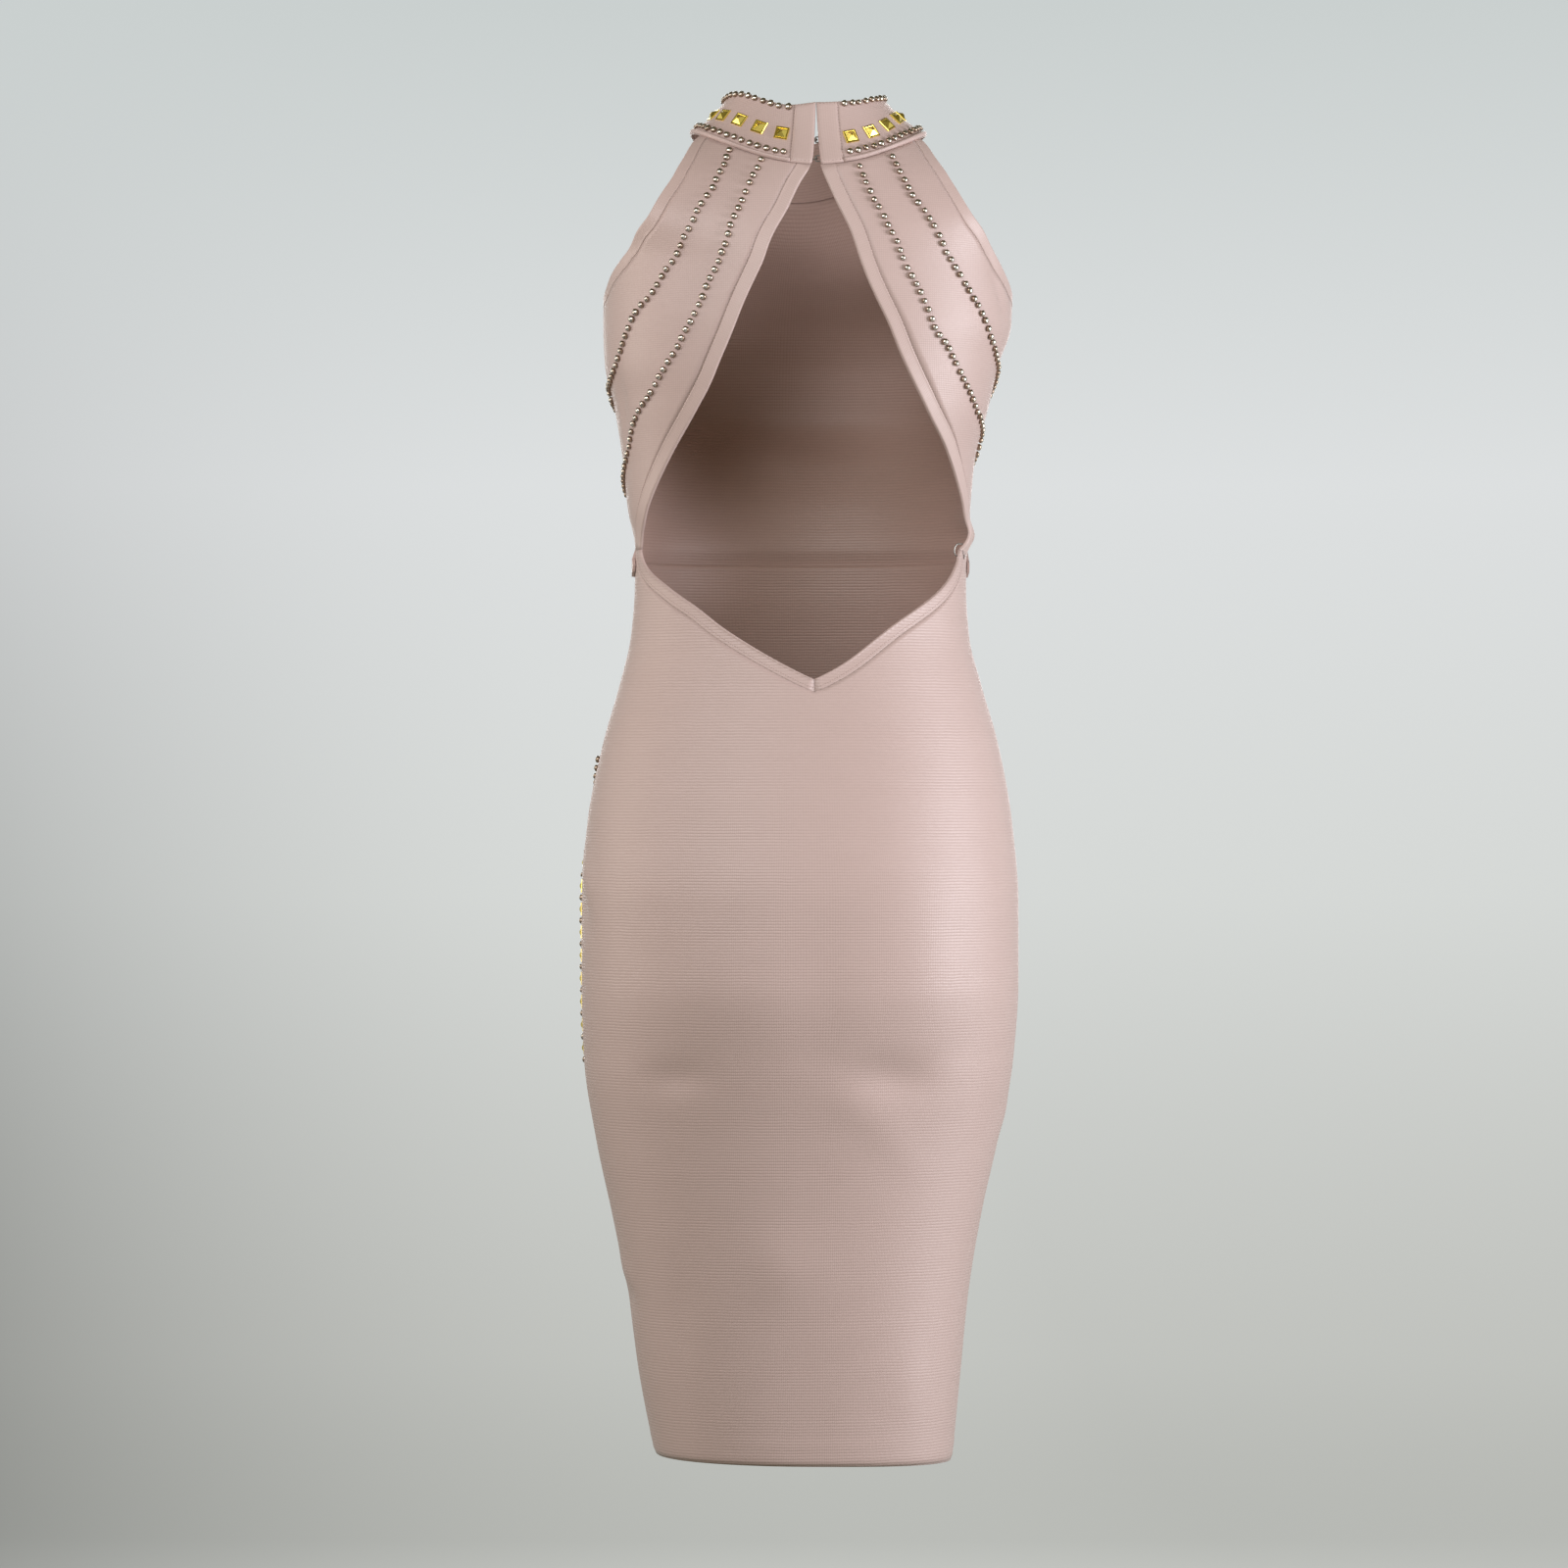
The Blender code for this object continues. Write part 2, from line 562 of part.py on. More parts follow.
def build_opening_strip(side, material, collection):
    """The folded strip down one side of the open back."""
    rows = [opening_edge(side, share * OPENING_STRIP) for share in STRIP_SHARES]
    heights = strip_heights(len(rows[0]), ends=(0,))
    return sewn_wall(f"back_opening_strip_{side}", rows, heights, material, collection)


def build_waist_strip(side, material, collection):
    """The folded strip along one half of the skirt's dip, mitred at its tip."""
    mitre = DIP_TURN - HAND[side] * TIP_SEAM_TURN
    rows = [dip_edge(side, share * WAIST_STRIP, mitre) for share in STRIP_SHARES]
    heights = strip_heights(len(rows[0]), ends=())
    return sewn_wall(f"waist_strip_{side}", rows, heights, material, collection)


def build_back_strap(side, material, collection):
    """The broad strap of the back, from the collar to the waist, between its two strips."""
    armhole = armhole_edge(side, ARMHOLE_STRIP + STRIP_SEAM)
    outer, _ = split_under_arm(armhole, side)
    seam_turn, under_arm = outer[-1]
    outer += [(seam_turn, level) for level in np.linspace(under_arm, STRAP_FOOT, SEAM_STEPS + 1)[1:]]
    inner = opening_edge(side, OPENING_STRIP + STRIP_SEAM)
    columns = between(outer, inner, np.linspace(0.0, 1.0, STRAP_COLUMNS))
    heights = [[THIN_TOP] + [CLOTH] * (len(outer) - 1) for _ in columns]
    return sewn_wall(f"back_strap_{side}", columns, heights, material, collection)


def build_bodice_front(material, collection):
    """The front from the collar to the waist in one piece, its foot lapped over the skirt."""
    _, left = split_under_arm(armhole_edge("left", ARMHOLE_STRIP + STRIP_SEAM), "left")
    _, right = split_under_arm(armhole_edge("right", ARMHOLE_STRIP + STRIP_SEAM), "right")
    right = [(turn - 360, level) for turn, level in reversed(right)]
    across = [(turn, PANEL_TOP) for turn in np.linspace(left[-1][0], right[0][0], NECK_COLUMNS)]
    top = left + across[1:-1] + right
    along = lengths_along(top) / lengths_along(top)[-1]
    seam_left, seam_right = top[0][0], top[-1][0]
    foot = [(seam_left + (seam_right - seam_left) * t, LAP_START) for t in along]
    rows = between(top, foot, np.linspace(0.0, 1.0, BODICE_ROWS))
    lifts = [0.0] * len(rows)
    for level, wrap in LAP_ROWS:
        rows.append([(seam_left + wrap + (seam_right - seam_left - 2 * wrap) * t, level) for t in along])
        lifts.append(CLOTH + LAP_GAP)
    thin = [THIN_TOP if level == PANEL_TOP else CLOTH for _, level in top]
    heights = [thin] + [[CLOTH] * len(top) for _ in rows[1:]]
    return sewn_wall("bodice_front", rows, heights, material, collection, lifts)


def skirt_shares():
    """Rows down the skirt, as shares of its length."""
    return np.linspace(0.0, 1.0, SKIRT_ROWS) ** CLOSER_AT_WAIST


def on_hem(turn):
    """The place of the tilted hem at a turn."""
    return turn, HEM + HEM_TILT * (1 + math.cos(math.radians(turn))) / 2


def build_skirt_back(material, collection):
    """The back of the skirt, its top cut to the dip under the waist strips."""
    inset = WAIST_STRIP + STRIP_SEAM
    left = dip_edge("left", inset, DIP_TURN)
    right = dip_edge("right", inset, DIP_TURN)
    first = (SIDE_SEAM["left"] + HALF_SEAM_TURN, left[0][1])
    last = (SIDE_SEAM["right"] - HALF_SEAM_TURN, right[0][1])
    top = [first] + left + list(reversed(right))[1:] + [last]
    along = lengths_along(top) / lengths_along(top)[-1]
    foot = [on_hem(first[0] + (last[0] - first[0]) * t) for t in along]
    rows = between(top, foot, skirt_shares())
    heights = [[CLOTH] * len(top) for _ in rows]
    return sewn_wall("skirt_back", rows, heights, material, collection)


def build_skirt_front(material, collection):
    """The front of the skirt, from under the bodice's foot to the hem."""
    first, last = SIDE_SEAM["left"] - HALF_SEAM_TURN, -SIDE_SEAM["right"] + HALF_SEAM_TURN
    turns = np.linspace(first, last, SKIRT_FRONT_COLUMNS)
    top = [(turn, SKIRT_FRONT_TOP) for turn in turns]
    rows = between(top, [on_hem(turn) for turn in turns], skirt_shares())
    heights = [[CLOTH] * len(turns) for _ in rows]
    return sewn_wall("skirt_front", rows, heights, material, collection)


# ---------------------------------------------------------------- hooks and eyes
def build_wire(name, points, material, collection):
    """A bent wire with round section and closed ends."""
    curve = bpy.data.curves.new(name, "CURVE")
    curve.dimensions = "3D"
    curve.bevel_depth = WIRE
    curve.bevel_resolution = 2
    curve.use_fill_caps = True
    spline = curve.splines.new("POLY")
    spline.points.add(len(points) - 1)
    for spot, point in zip(spline.points, points):
        spot.co = (*point, 1.0)
    curve.materials.append(material)
    obj = bpy.data.objects.new(name, curve)
    collection.objects.link(obj)
    return obj


def half_turn():
    """Angles of the points along a bend of half a turn, in radians."""
    return [math.radians(angle) for angle in range(90, -91, -BEND_STEP)]


def under_collar(share, across, depth, rise):
    """A point inside the closure: across from its middle line, so deep, and above the share's height."""
    share += rise / collar_height()
    middle = (tab_line("left", "inner", share) + tab_line("right", "inner", share)) / 2
    turn = collar_turn(middle + across, share)
    return collar_point(turn, share) - collar_outward(turn, share) * depth


def eye_line(depth):
    """The eye's wire as (across, depth, rise): a leg, the end that is hooked, the other leg."""
    leg = EYE_HEIGHT / 2
    upper = [(-across, depth, leg) for across in (EYE_REACH, EYE_REACH / 2, EYE_CORNER)]
    upper.append((0.0, depth, leg - EYE_CORNER))
    return upper + [(across, depth, -rise) for across, depth, rise in reversed(upper)]


def hook_line(depth, clear):
    """The hook's wire as (across, depth, rise): its shank drops behind the eye and bends round it."""
    line = [(HOOK_REACH, depth, 0.0), (HOOK_DROP, depth, 0.0), (HOOK_LIP, depth + clear, 0.0)]
    line += [(-clear * math.cos(bend), depth + clear * math.sin(bend), 0.0) for bend in half_turn()]
    return line + [(HOOK_LIP, depth - clear, 0.0)]


def build_fastening(number, share, material, collection):
    """One hook on the left tab and the eye on the right tab that holds it."""
    clear = 2 * WIRE + SEAM
    eye = [under_collar(share, *spot) for spot in eye_line(clear)]
    hook = [under_collar(share, *spot) for spot in hook_line(clear, clear)]
    build_wire(f"collar_eye_{number}", eye, material, collection)
    build_wire(f"collar_hook_{number}", hook, material, collection)


def build_waist_loop(material, collection):
    """The small wire loop that ties the right strap's foot to the skirt from the inside."""
    bend = [
        (LOOP_TURN - LOOP_BEND * math.cos(angle), STRAP_FOOT + LOOP_HALF_HEIGHT * math.sin(angle))
        for angle in half_turn()
    ]
    upper_leg = (LOOP_LEG_TURN, STRAP_FOOT + LOOP_HALF_HEIGHT)
    lower_leg = (LOOP_LEG_TURN, STRAP_FOOT - LOOP_HALF_HEIGHT)
    places = [upper_leg] + bend + [lower_leg]
    points = [on_form(place) - outward_at(place) * (SEAM + WIRE) for place in places]
    return build_wire("waist_loop_right", points, material, collection)


# ---------------------------------------------------------------- materials and the whole
def make_material(name, colour, roughness, metallic):
    """A plain material of one colour."""
    material = bpy.data.materials.new(name)
    material.use_nodes = True
    shader = material.node_tree.nodes["Principled BSDF"]
    shader.inputs["Base Color"].default_value = (*colour, 1.0)
    shader.inputs["Roughness"].default_value = roughness
    shader.inputs["Metallic"].default_value = metallic
    material.diffuse_color = (*colour, 1.0)
    return material


def remove_objects():
    """Empty the scene that the script is run in."""
    for obj in list(bpy.context.scene.objects):
        bpy.data.objects.remove(obj, do_unlink=True)


def main():
    """Build every piece of the dress into one collection."""
    remove_objects()
    dress = bpy.data.collections.new("bodycon_dress")
    bpy.context.scene.collection.children.link(dress)
    knit = make_material("blush_bandage_knit", (0.56, 0.40, 0.36), 0.55, 0.0)
    strip = make_material("blush_strip_knit", (0.60, 0.44, 0.40), 0.55, 0.0)
    steel = make_material("silvered_wire", (0.75, 0.74, 0.72), 0.25, 1.0)

    build_collar(knit, dress)
    for side in ("left", "right"):
        build_tab(side, strip, dress)
        build_armhole_strip(side, strip, dress)
        build_opening_strip(side, strip, dress)
        build_back_strap(side, knit, dress)
        build_waist_strip(side, strip, dress)
    build_bodice_front(knit, dress)
    build_skirt_back(knit, dress)
    build_skirt_front(knit, dress)
    for number, share in enumerate(FASTENINGS, start=1):
        build_fastening(number, share, steel, dress)
    build_waist_loop(steel, dress)


main()
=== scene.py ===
# %% [markdown]
# # A halter-neck bodycon dress with an open back
# The dress is ribbed bandage knit with a satin sheen. It keeps the shape of the figure that wears it,
# and stands here without that figure: the neck, the armholes, the back and the hem are open.
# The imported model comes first. Every piece made below lies where the model says, in metres,
# with +Z up, the wearer's front towards -Y and the wearer's left towards +X.

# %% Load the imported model
import math
from collections import namedtuple

import bpy
import numpy as np
from mathutils import Matrix, Vector


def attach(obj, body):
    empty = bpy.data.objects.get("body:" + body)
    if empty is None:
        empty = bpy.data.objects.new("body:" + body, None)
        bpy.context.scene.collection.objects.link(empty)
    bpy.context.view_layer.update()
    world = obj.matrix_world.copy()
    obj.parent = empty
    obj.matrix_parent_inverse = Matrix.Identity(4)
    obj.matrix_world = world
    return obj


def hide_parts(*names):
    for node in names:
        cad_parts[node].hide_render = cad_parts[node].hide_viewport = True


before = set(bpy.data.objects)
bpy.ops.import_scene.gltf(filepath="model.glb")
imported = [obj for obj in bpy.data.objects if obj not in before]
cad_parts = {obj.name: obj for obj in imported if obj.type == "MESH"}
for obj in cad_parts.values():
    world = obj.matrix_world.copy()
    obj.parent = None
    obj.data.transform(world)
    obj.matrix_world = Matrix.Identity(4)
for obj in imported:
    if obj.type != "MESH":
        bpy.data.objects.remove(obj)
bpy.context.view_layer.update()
print("nodes of the model:", len(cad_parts))

# %% [markdown]
# ## The camera
# A long lens from 4.4 m keeps the dress almost free of perspective. The camera stands behind the
# wearer, 5.5 degrees towards the wearer's left, level with the hips. One pixel of the 1600 pixel frame
# covers 0.7 mm at the middle of the dress.

# %% Camera
FRAME_PIXELS = 1600
METRES_PER_PIXEL = 0.0007
CAMERA_TURN = math.radians(5.5)
CAMERA_DISTANCE = 4.4
CAMERA_HEIGHT = -0.455
CAMERA_ASIDE = 0.0126
SENSOR = 36.0

camera_right = Vector((-math.cos(CAMERA_TURN), math.sin(CAMERA_TURN), 0.0))
camera_back = Vector((math.sin(CAMERA_TURN), math.cos(CAMERA_TURN), 0.0))
camera_spot = camera_back * CAMERA_DISTANCE - camera_right * CAMERA_ASIDE + Vector((0, 0, CAMERA_HEIGHT))

camera = bpy.data.objects.new("camera", bpy.data.cameras.new("camera"))
camera.data.sensor_width = SENSOR
camera.data.lens = SENSOR * CAMERA_DISTANCE / (FRAME_PIXELS * METRES_PER_PIXEL)
camera.matrix_world = Matrix.Translation(camera_spot) @ Matrix(
    (camera_right, Vector((0, 0, 1)), camera_back)
).transposed().to_4x4()
bpy.context.scene.collection.objects.link(camera)
bpy.context.scene.camera = camera
print("lens:", round(camera.data.lens, 2), "mm")

# %% [markdown]
# ## The form
# A dress this tight has the shape of the body in it, so every piece of cloth lies on one smooth form.
# The form is a stack of rings. Each ring is a rounded oval with its own width to the left and right,
# depth to the back and front, and squareness. A curve that never overshoots joins the rings.
# A place on the form is (turn, level): turn is the angle round the body, 0 at the wearer's left side
# and 90 at the centre back, and level is the height where that ring crosses the centre back.
# The table is the same as in the model's source, and numpy works on whole grids of places at once.

# %% The rings of the form
Ring = namedtuple("Ring", "back_height side_height front_height left right middle back front square")
COLLAR_TOP = Ring(0.0240, 0.0318, 0.0040, 0.0557, 0.0558, 0.018, 0.0720, -0.034, 2.00)
SLOPING_RINGS = [
    Ring(-0.0214, 0.0052, -0.0360, 0.0791, 0.0841, 0.024, 0.0880, -0.0460, 2.00),  # collar seam
    Ring(-0.0450, -0.0120, -0.0660, 0.1280, 0.1320, 0.016, 0.0945, -0.0660, 2.05),
    Ring(-0.0700, -0.0420, -0.0880, 0.1560, 0.1600, 0.008, 0.0995, -0.0860, 2.10),
    Ring(-0.0940, -0.0800, -0.1050, 0.1410, 0.1508, 0.003, 0.1015, -0.1020, 2.20),
]
LEVEL_RINGS = [  # height, left, right, back, front and squareness
    (-0.1250, 0.1415, 0.1500, 0.1010, -0.1160, 2.30),  # armpit
    (-0.1550, 0.1403, 0.1407, 0.0985, -0.1260, 2.30),
    (-0.1850, 0.1335, 0.1336, 0.0940, -0.1280, 2.30),  # bust
    (-0.2240, 0.1276, 0.1238, 0.0855, -0.1080, 2.20),
    (-0.2590, 0.1241, 0.1206, 0.0790, -0.0930, 2.15),
    (-0.2870, 0.1189, 0.1181, 0.0765, -0.0875, 2.10),  # waist
    (-0.3150, 0.1192, 0.1178, 0.0785, -0.0875, 2.10),
    (-0.3500, 0.1220, 0.1200, 0.0830, -0.0905, 2.10),
    (-0.3850, 0.1301, 0.1287, 0.0895, -0.0945, 2.15),
    (-0.4270, 0.1420, 0.1406, 0.0985, -0.0990, 2.20),
    (-0.4830, 0.1530, 0.1505, 0.1110, -0.1020, 2.20),
    (-0.5390, 0.1572, 0.1547, 0.1195, -0.1020, 2.25),  # hips
    (-0.5950, 0.1572, 0.1547, 0.1205, -0.0995, 2.25),
    (-0.6510, 0.1554, 0.1512, 0.1120, -0.0955, 2.20),
    (-0.7070, 0.1470, 0.1406, 0.1015, -0.0905, 2.20),
    (-0.7630, 0.1350, 0.1280, 0.0940, -0.0860, 2.25),
    (-0.8190, 0.1238, 0.1188, 0.0885, -0.0825, 2.30),
    (-0.8750, 0.1160, 0.1132, 0.0840, -0.0790, 2.35),
    (-0.9365, 0.1040, 0.1072, 0.0800, -0.0760, 2.40),  # hem
]
FORM = SLOPING_RINGS + [
    Ring(height, height, height, left, right, 0.0, back, front, square)
    for height, left, right, back, front, square in LEVEL_RINGS
]
WAIST = -0.2870
CLOTH = 0.0018  # one layer of the knit
HEM = FORM[-1].back_height  # at the wearer's right, the lowest place
HEM_TILT = 0.0050  # how much higher it is at the wearer's left
SIDE_SEAM = {"left": 0.0, "right": 180.0}
HAND = {"left": 1, "right": -1}
print("rings:", len(FORM), "from", FORM[0].back_height, "to", HEM)


# %% Smooth curves through a table
def column_slopes(places, values):
    """Slopes of a smooth curve through the values that never overshoots them."""
    steps = np.diff(places)
    rises = np.diff(values) / steps
    slopes = np.zeros(len(values))
    slopes[0], slopes[-1] = rises[0], rises[-1]
    for i in range(1, len(values) - 1):
        if rises[i - 1] * rises[i] > 0:
            before = 2 * steps[i] + steps[i - 1]
            after = steps[i] + 2 * steps[i - 1]
            slopes[i] = (before + after) / (before / rises[i - 1] + after / rises[i])
    return slopes


def round_slopes(places, values):
    """Slopes of a rounder curve, which may bulge a little past its values where it turns back."""
    steps = np.diff(places)
    rises = np.diff(values) / steps
    inner = (steps[1:] * rises[:-1] + steps[:-1] * rises[1:]) / (steps[1:] + steps[:-1])
    return np.concatenate([rises[:1] * 1.5 - inner[:1] * 0.5, inner, rises[-1:] * 1.5 - inner[-1:] * 0.5])


def smooth_values(places, values, at, slopes_of=column_slopes):
    """The smooth curve's values at many places, held level past its ends."""
    places, values = np.asarray(places, float), np.asarray(values, float)
    slopes = slopes_of(places, values)
    at = np.clip(at, places[0], places[-1])
    i = np.clip(np.searchsorted(places, at, side="right") - 1, 0, len(places) - 2)
    step = places[i + 1] - places[i]
    t = (at - places[i]) / step
    return (
        (1 + 2 * t) * (1 - t) ** 2 * values[i]
        + t * (1 - t) ** 2 * step * slopes[i]
        + t * t * (3 - 2 * t) * values[i + 1]
        + t * t * (t - 1) * step * slopes[i + 1]
    )


LEVELS = [ring.back_height for ring in reversed(FORM)]


def ring_at(level):
    """The form's rings at many levels."""
    columns = ([getattr(ring, name) for ring in reversed(FORM)] for name in Ring._fields)
    return Ring(*(smooth_values(LEVELS, column, level) for column in columns))


# %% Points on the form
def ring_point(ring, turn, cloth):
    """Points on rings, inside the cloth."""
    c, s = np.cos(np.radians(turn)), np.sin(np.radians(turn))
    power = 2 / ring.square
    half = np.where(c >= 0, ring.left, ring.right) - cloth
    reach = np.where(s >= 0, ring.back - ring.middle, ring.middle - ring.front) - cloth
    end_height = np.where(s >= 0, ring.back_height, ring.front_height)
    return np.stack([
        np.sign(c) * half * np.abs(c) ** power,
        ring.middle + np.sign(s) * reach * np.abs(s) ** power,
        ring.side_height + (end_height - ring.side_height) * s * s,
    ], -1)


SAG_OF_STRAP = 0.0055  # the right strap stands off the body just above the waist
SAG_MIDDLE = -0.2775
SAG_HALF_HEIGHT = 0.0085
SAG_HALF_TURN = 26.0


def on_form(places):
    """Points of the form at places (turn, level), inside the cloth."""
    turn, level = places[..., 0], places[..., 1]
    points = ring_point(ring_at(level), turn, CLOTH)
    from_side = (turn % 360 - SIDE_SEAM["right"]) / SAG_HALF_TURN
    down = (level - SAG_MIDDLE) / SAG_HALF_HEIGHT
    points[..., 0] -= SAG_OF_STRAP * np.exp(-(down**2) - from_side**2)
    return points


def unit(vectors):
    """The vectors at length one."""
    return vectors / np.maximum(np.linalg.norm(vectors, axis=-1, keepdims=True), 1e-12)


def turn_level(turns, levels):
    """Places from their turns and levels, either of which may be one number for all."""
    return np.stack(np.broadcast_arrays(turns, levels), -1)


def slopes_at(places, turn_step=0.5, level_step=0.0005):
    """How the form's points move per degree of turn and per metre of level."""
    turn, level = places[..., 0], places[..., 1]
    low = np.maximum(level - level_step, HEM)
    high = np.minimum(level + level_step, FORM[0].back_height)
    shift = on_form(turn_level(turn + turn_step, level)) - on_form(turn_level(turn - turn_step, level))
    rise = on_form(turn_level(turn, high)) - on_form(turn_level(turn, low))
    return shift / (2 * turn_step), rise / (high - low)[..., None]


def outward_at(places):
    """Directions straight out of the form."""
    return unit(np.cross(*slopes_at(places)))


def lengths_along(points, axis=0):
    """Length from the start of each line to each of its points. The lines run along the axis."""
    steps = np.linalg.norm(np.diff(points, axis=axis), axis=-1)
    return np.concatenate([np.zeros_like(steps.take([0], axis)), np.cumsum(steps, axis)], axis)


def shares_along(places):
    """How far along an edge each of its places is, from 0 to 1."""
    along = lengths_along(on_form(places))
    return along / along[-1]


waist = on_form(turn_level(np.arange(0, 361.0), WAIST))
print("inside the waist:", round(float(lengths_along(waist)[-1]), 3), "m round")

# %% [markdown]
# ## The cut edges
# The panels are cut along the armholes, the open back and the dip over the seat. Each edge is a short
# table of places, and a smooth curve is drawn through them on the form. Folded strips finish the edges,
# and a panel starts where its strip ends, so the same edge is moved sideways on the form by the strip's
# width. That way neighbours share their line exactly, however finely each one is divided.

# %% Tables of the edges
ARMHOLE = {
    "left": [
        (21.0, -0.0249), (37.5, -0.0382), (43.6, -0.0551), (42.9, -0.0711), (33.6, -0.0831),
        (21.1, -0.0958), (11.6, -0.1034), (5.5, -0.1085), (0.0, -0.1112), (-9.0, -0.1105),
        (-20.0, -0.1035), (-33.5, -0.0882), (-46.0, -0.0620), (-45.0, -0.0420), (-40.0, -0.0240),
    ],
    "right": [
        (157.0, -0.0241), (142.0, -0.0360), (136.0, -0.0500), (134.9, -0.0686), (141.9, -0.0809),
        (150.4, -0.0918), (158.2, -0.1009), (166.5, -0.1075), (180.0, -0.1118), (190.0, -0.1108),
        (201.0, -0.1035), (217.0, -0.0867), (226.0, -0.0620), (225.0, -0.0420), (220.0, -0.0240),
    ],
}
UNDER_ARM = 8  # the place of the side seam in both tables
OPENING = {
    "left": [
        (87.9, -0.0234), (85.0, -0.0340), (82.0, -0.0585), (77.4, -0.0865), (62.8, -0.1672),
        (54.0, -0.1940), (42.4, -0.2207), (20.5, -0.2677), (13.5, -0.2800), (10.5, -0.2885),
    ],
    "right": [
        (93.6, -0.0241), (97.0, -0.0580), (100.0, -0.0857), (103.4, -0.1126), (108.9, -0.1394),
        (116.1, -0.1663), (125.8, -0.1931), (140.2, -0.2195), (152.0, -0.2440), (161.0, -0.2620),
        (165.5, -0.2740), (164.0, -0.2820), (158.5, -0.2885),
    ],
}
WAIST_DIP = {
    "left": [
        (10.5, -0.2888), (12.5, -0.2940), (34.6, -0.3167), (48.8, -0.3309), (59.5, -0.3449),
        (90.0, -0.3816),
    ],
    "right": [
        (158.5, -0.2888), (157.8, -0.2940), (154.5, -0.3012), (116.8, -0.3447), (98.0, -0.3716),
        (90.0, -0.3816),
    ],
}
PANEL_TOP = FORM[0].back_height - 0.0001
STRAP_FOOT = -0.2885
SKIRT_FRONT_TOP = -0.2958
ARMHOLE_STRIP = 0.0088
OPENING_STRIP = 0.0098
WAIST_STRIP = 0.0088
STRIP_SEAM = 0.00005  # the needle draws a strip and its panel close together


# %% Curves on the form
def curve_through(places, count, slopes_of=column_slopes):
    """A smooth edge through the places, in count equal steps."""
    places = np.array(places, float)
    along = lengths_along(on_form(places))
    at = np.linspace(0.0, along[-1], count + 1)
    return np.stack([smooth_values(along, places[:, k], at, slopes_of) for k in (0, 1)], -1)


def moved_in(places, distance):
    """The edge moved sideways on the form: to the left of its own direction, seen from outside."""
    if not distance:
        return places
    last = len(places) - 1
    index = np.arange(last + 1)
    ahead = on_form(places[np.minimum(index + 1, last)])
    behind = on_form(places[np.maximum(index - 1, 0)])
    along, down = slopes_at(places)
    shift = unit(np.cross(outward_at(places), ahead - behind)) * distance
    # The shift is a share of each slope, so two equations in two unknowns are solved at each place.
    aa, dd, ad = ((p * q).sum(-1) for p, q in ((along, along), (down, down), (along, down)))
    sa, sd = (shift * along).sum(-1), (shift * down).sum(-1)
    spread = aa * dd - ad * ad
    return places + np.stack([(sa * dd - sd * ad) / spread, (sd * aa - sa * ad) / spread], -1)


def ended_at(places, column, value, end):
    """The edge with its first (0) or last (-1) place slid along it to a turn or a level."""
    near, next_one = (places[0], places[1]) if end == 0 else (places[-1], places[-2])
    share = (value - next_one[column]) / (near[column] - next_one[column])
    places = places.copy()
    places[end] = next_one + share * (near - next_one)
    return places


def armhole_edge(side, distance, steps):
    """The armhole from the collar at the back, under the arm, to the collar at the front."""
    knots = ARMHOLE[side]
    back = curve_through(knots[: UNDER_ARM + 1], steps, round_slopes)
    front = curve_through(knots[UNDER_ARM:], steps, round_slopes)
    edge = moved_in(np.concatenate([back, front[1:]]), HAND[side] * distance)
    return ended_at(ended_at(edge, 1, PANEL_TOP, 0), 1, PANEL_TOP, -1)


def opening_edge(side, distance, steps):
    """The side of the open back from the collar tab down to the strap's foot."""
    edge = moved_in(curve_through(OPENING[side], steps), -HAND[side] * distance)
    return ended_at(ended_at(edge, 1, PANEL_TOP, 0), 1, STRAP_FOOT, -1)


def dip_edge(side, distance, mitre, steps):
    """The skirt's edge from the strap's foot down to the tip of the dip at the centre back."""
    edge = moved_in(curve_through(WAIST_DIP[side], steps), -HAND[side] * distance)
    return ended_at(ended_at(edge, 1, STRAP_FOOT - STRIP_SEAM, 0), 0, mitre, -1)


def between(first, second, shares):
    """A grid of places between two edges of the same count."""
    shares = np.asarray(shares)[:, None, None]
    return first[None] * (1 - shares) + second[None] * shares


for side in HAND:
    print(side, "armhole:", round(lengths_along(on_form(armhole_edge(side, 0.0, 60)))[-1], 3), "m,",
          "opening:", round(lengths_along(on_form(opening_edge(side, 0.0, 60)))[-1], 3), "m")
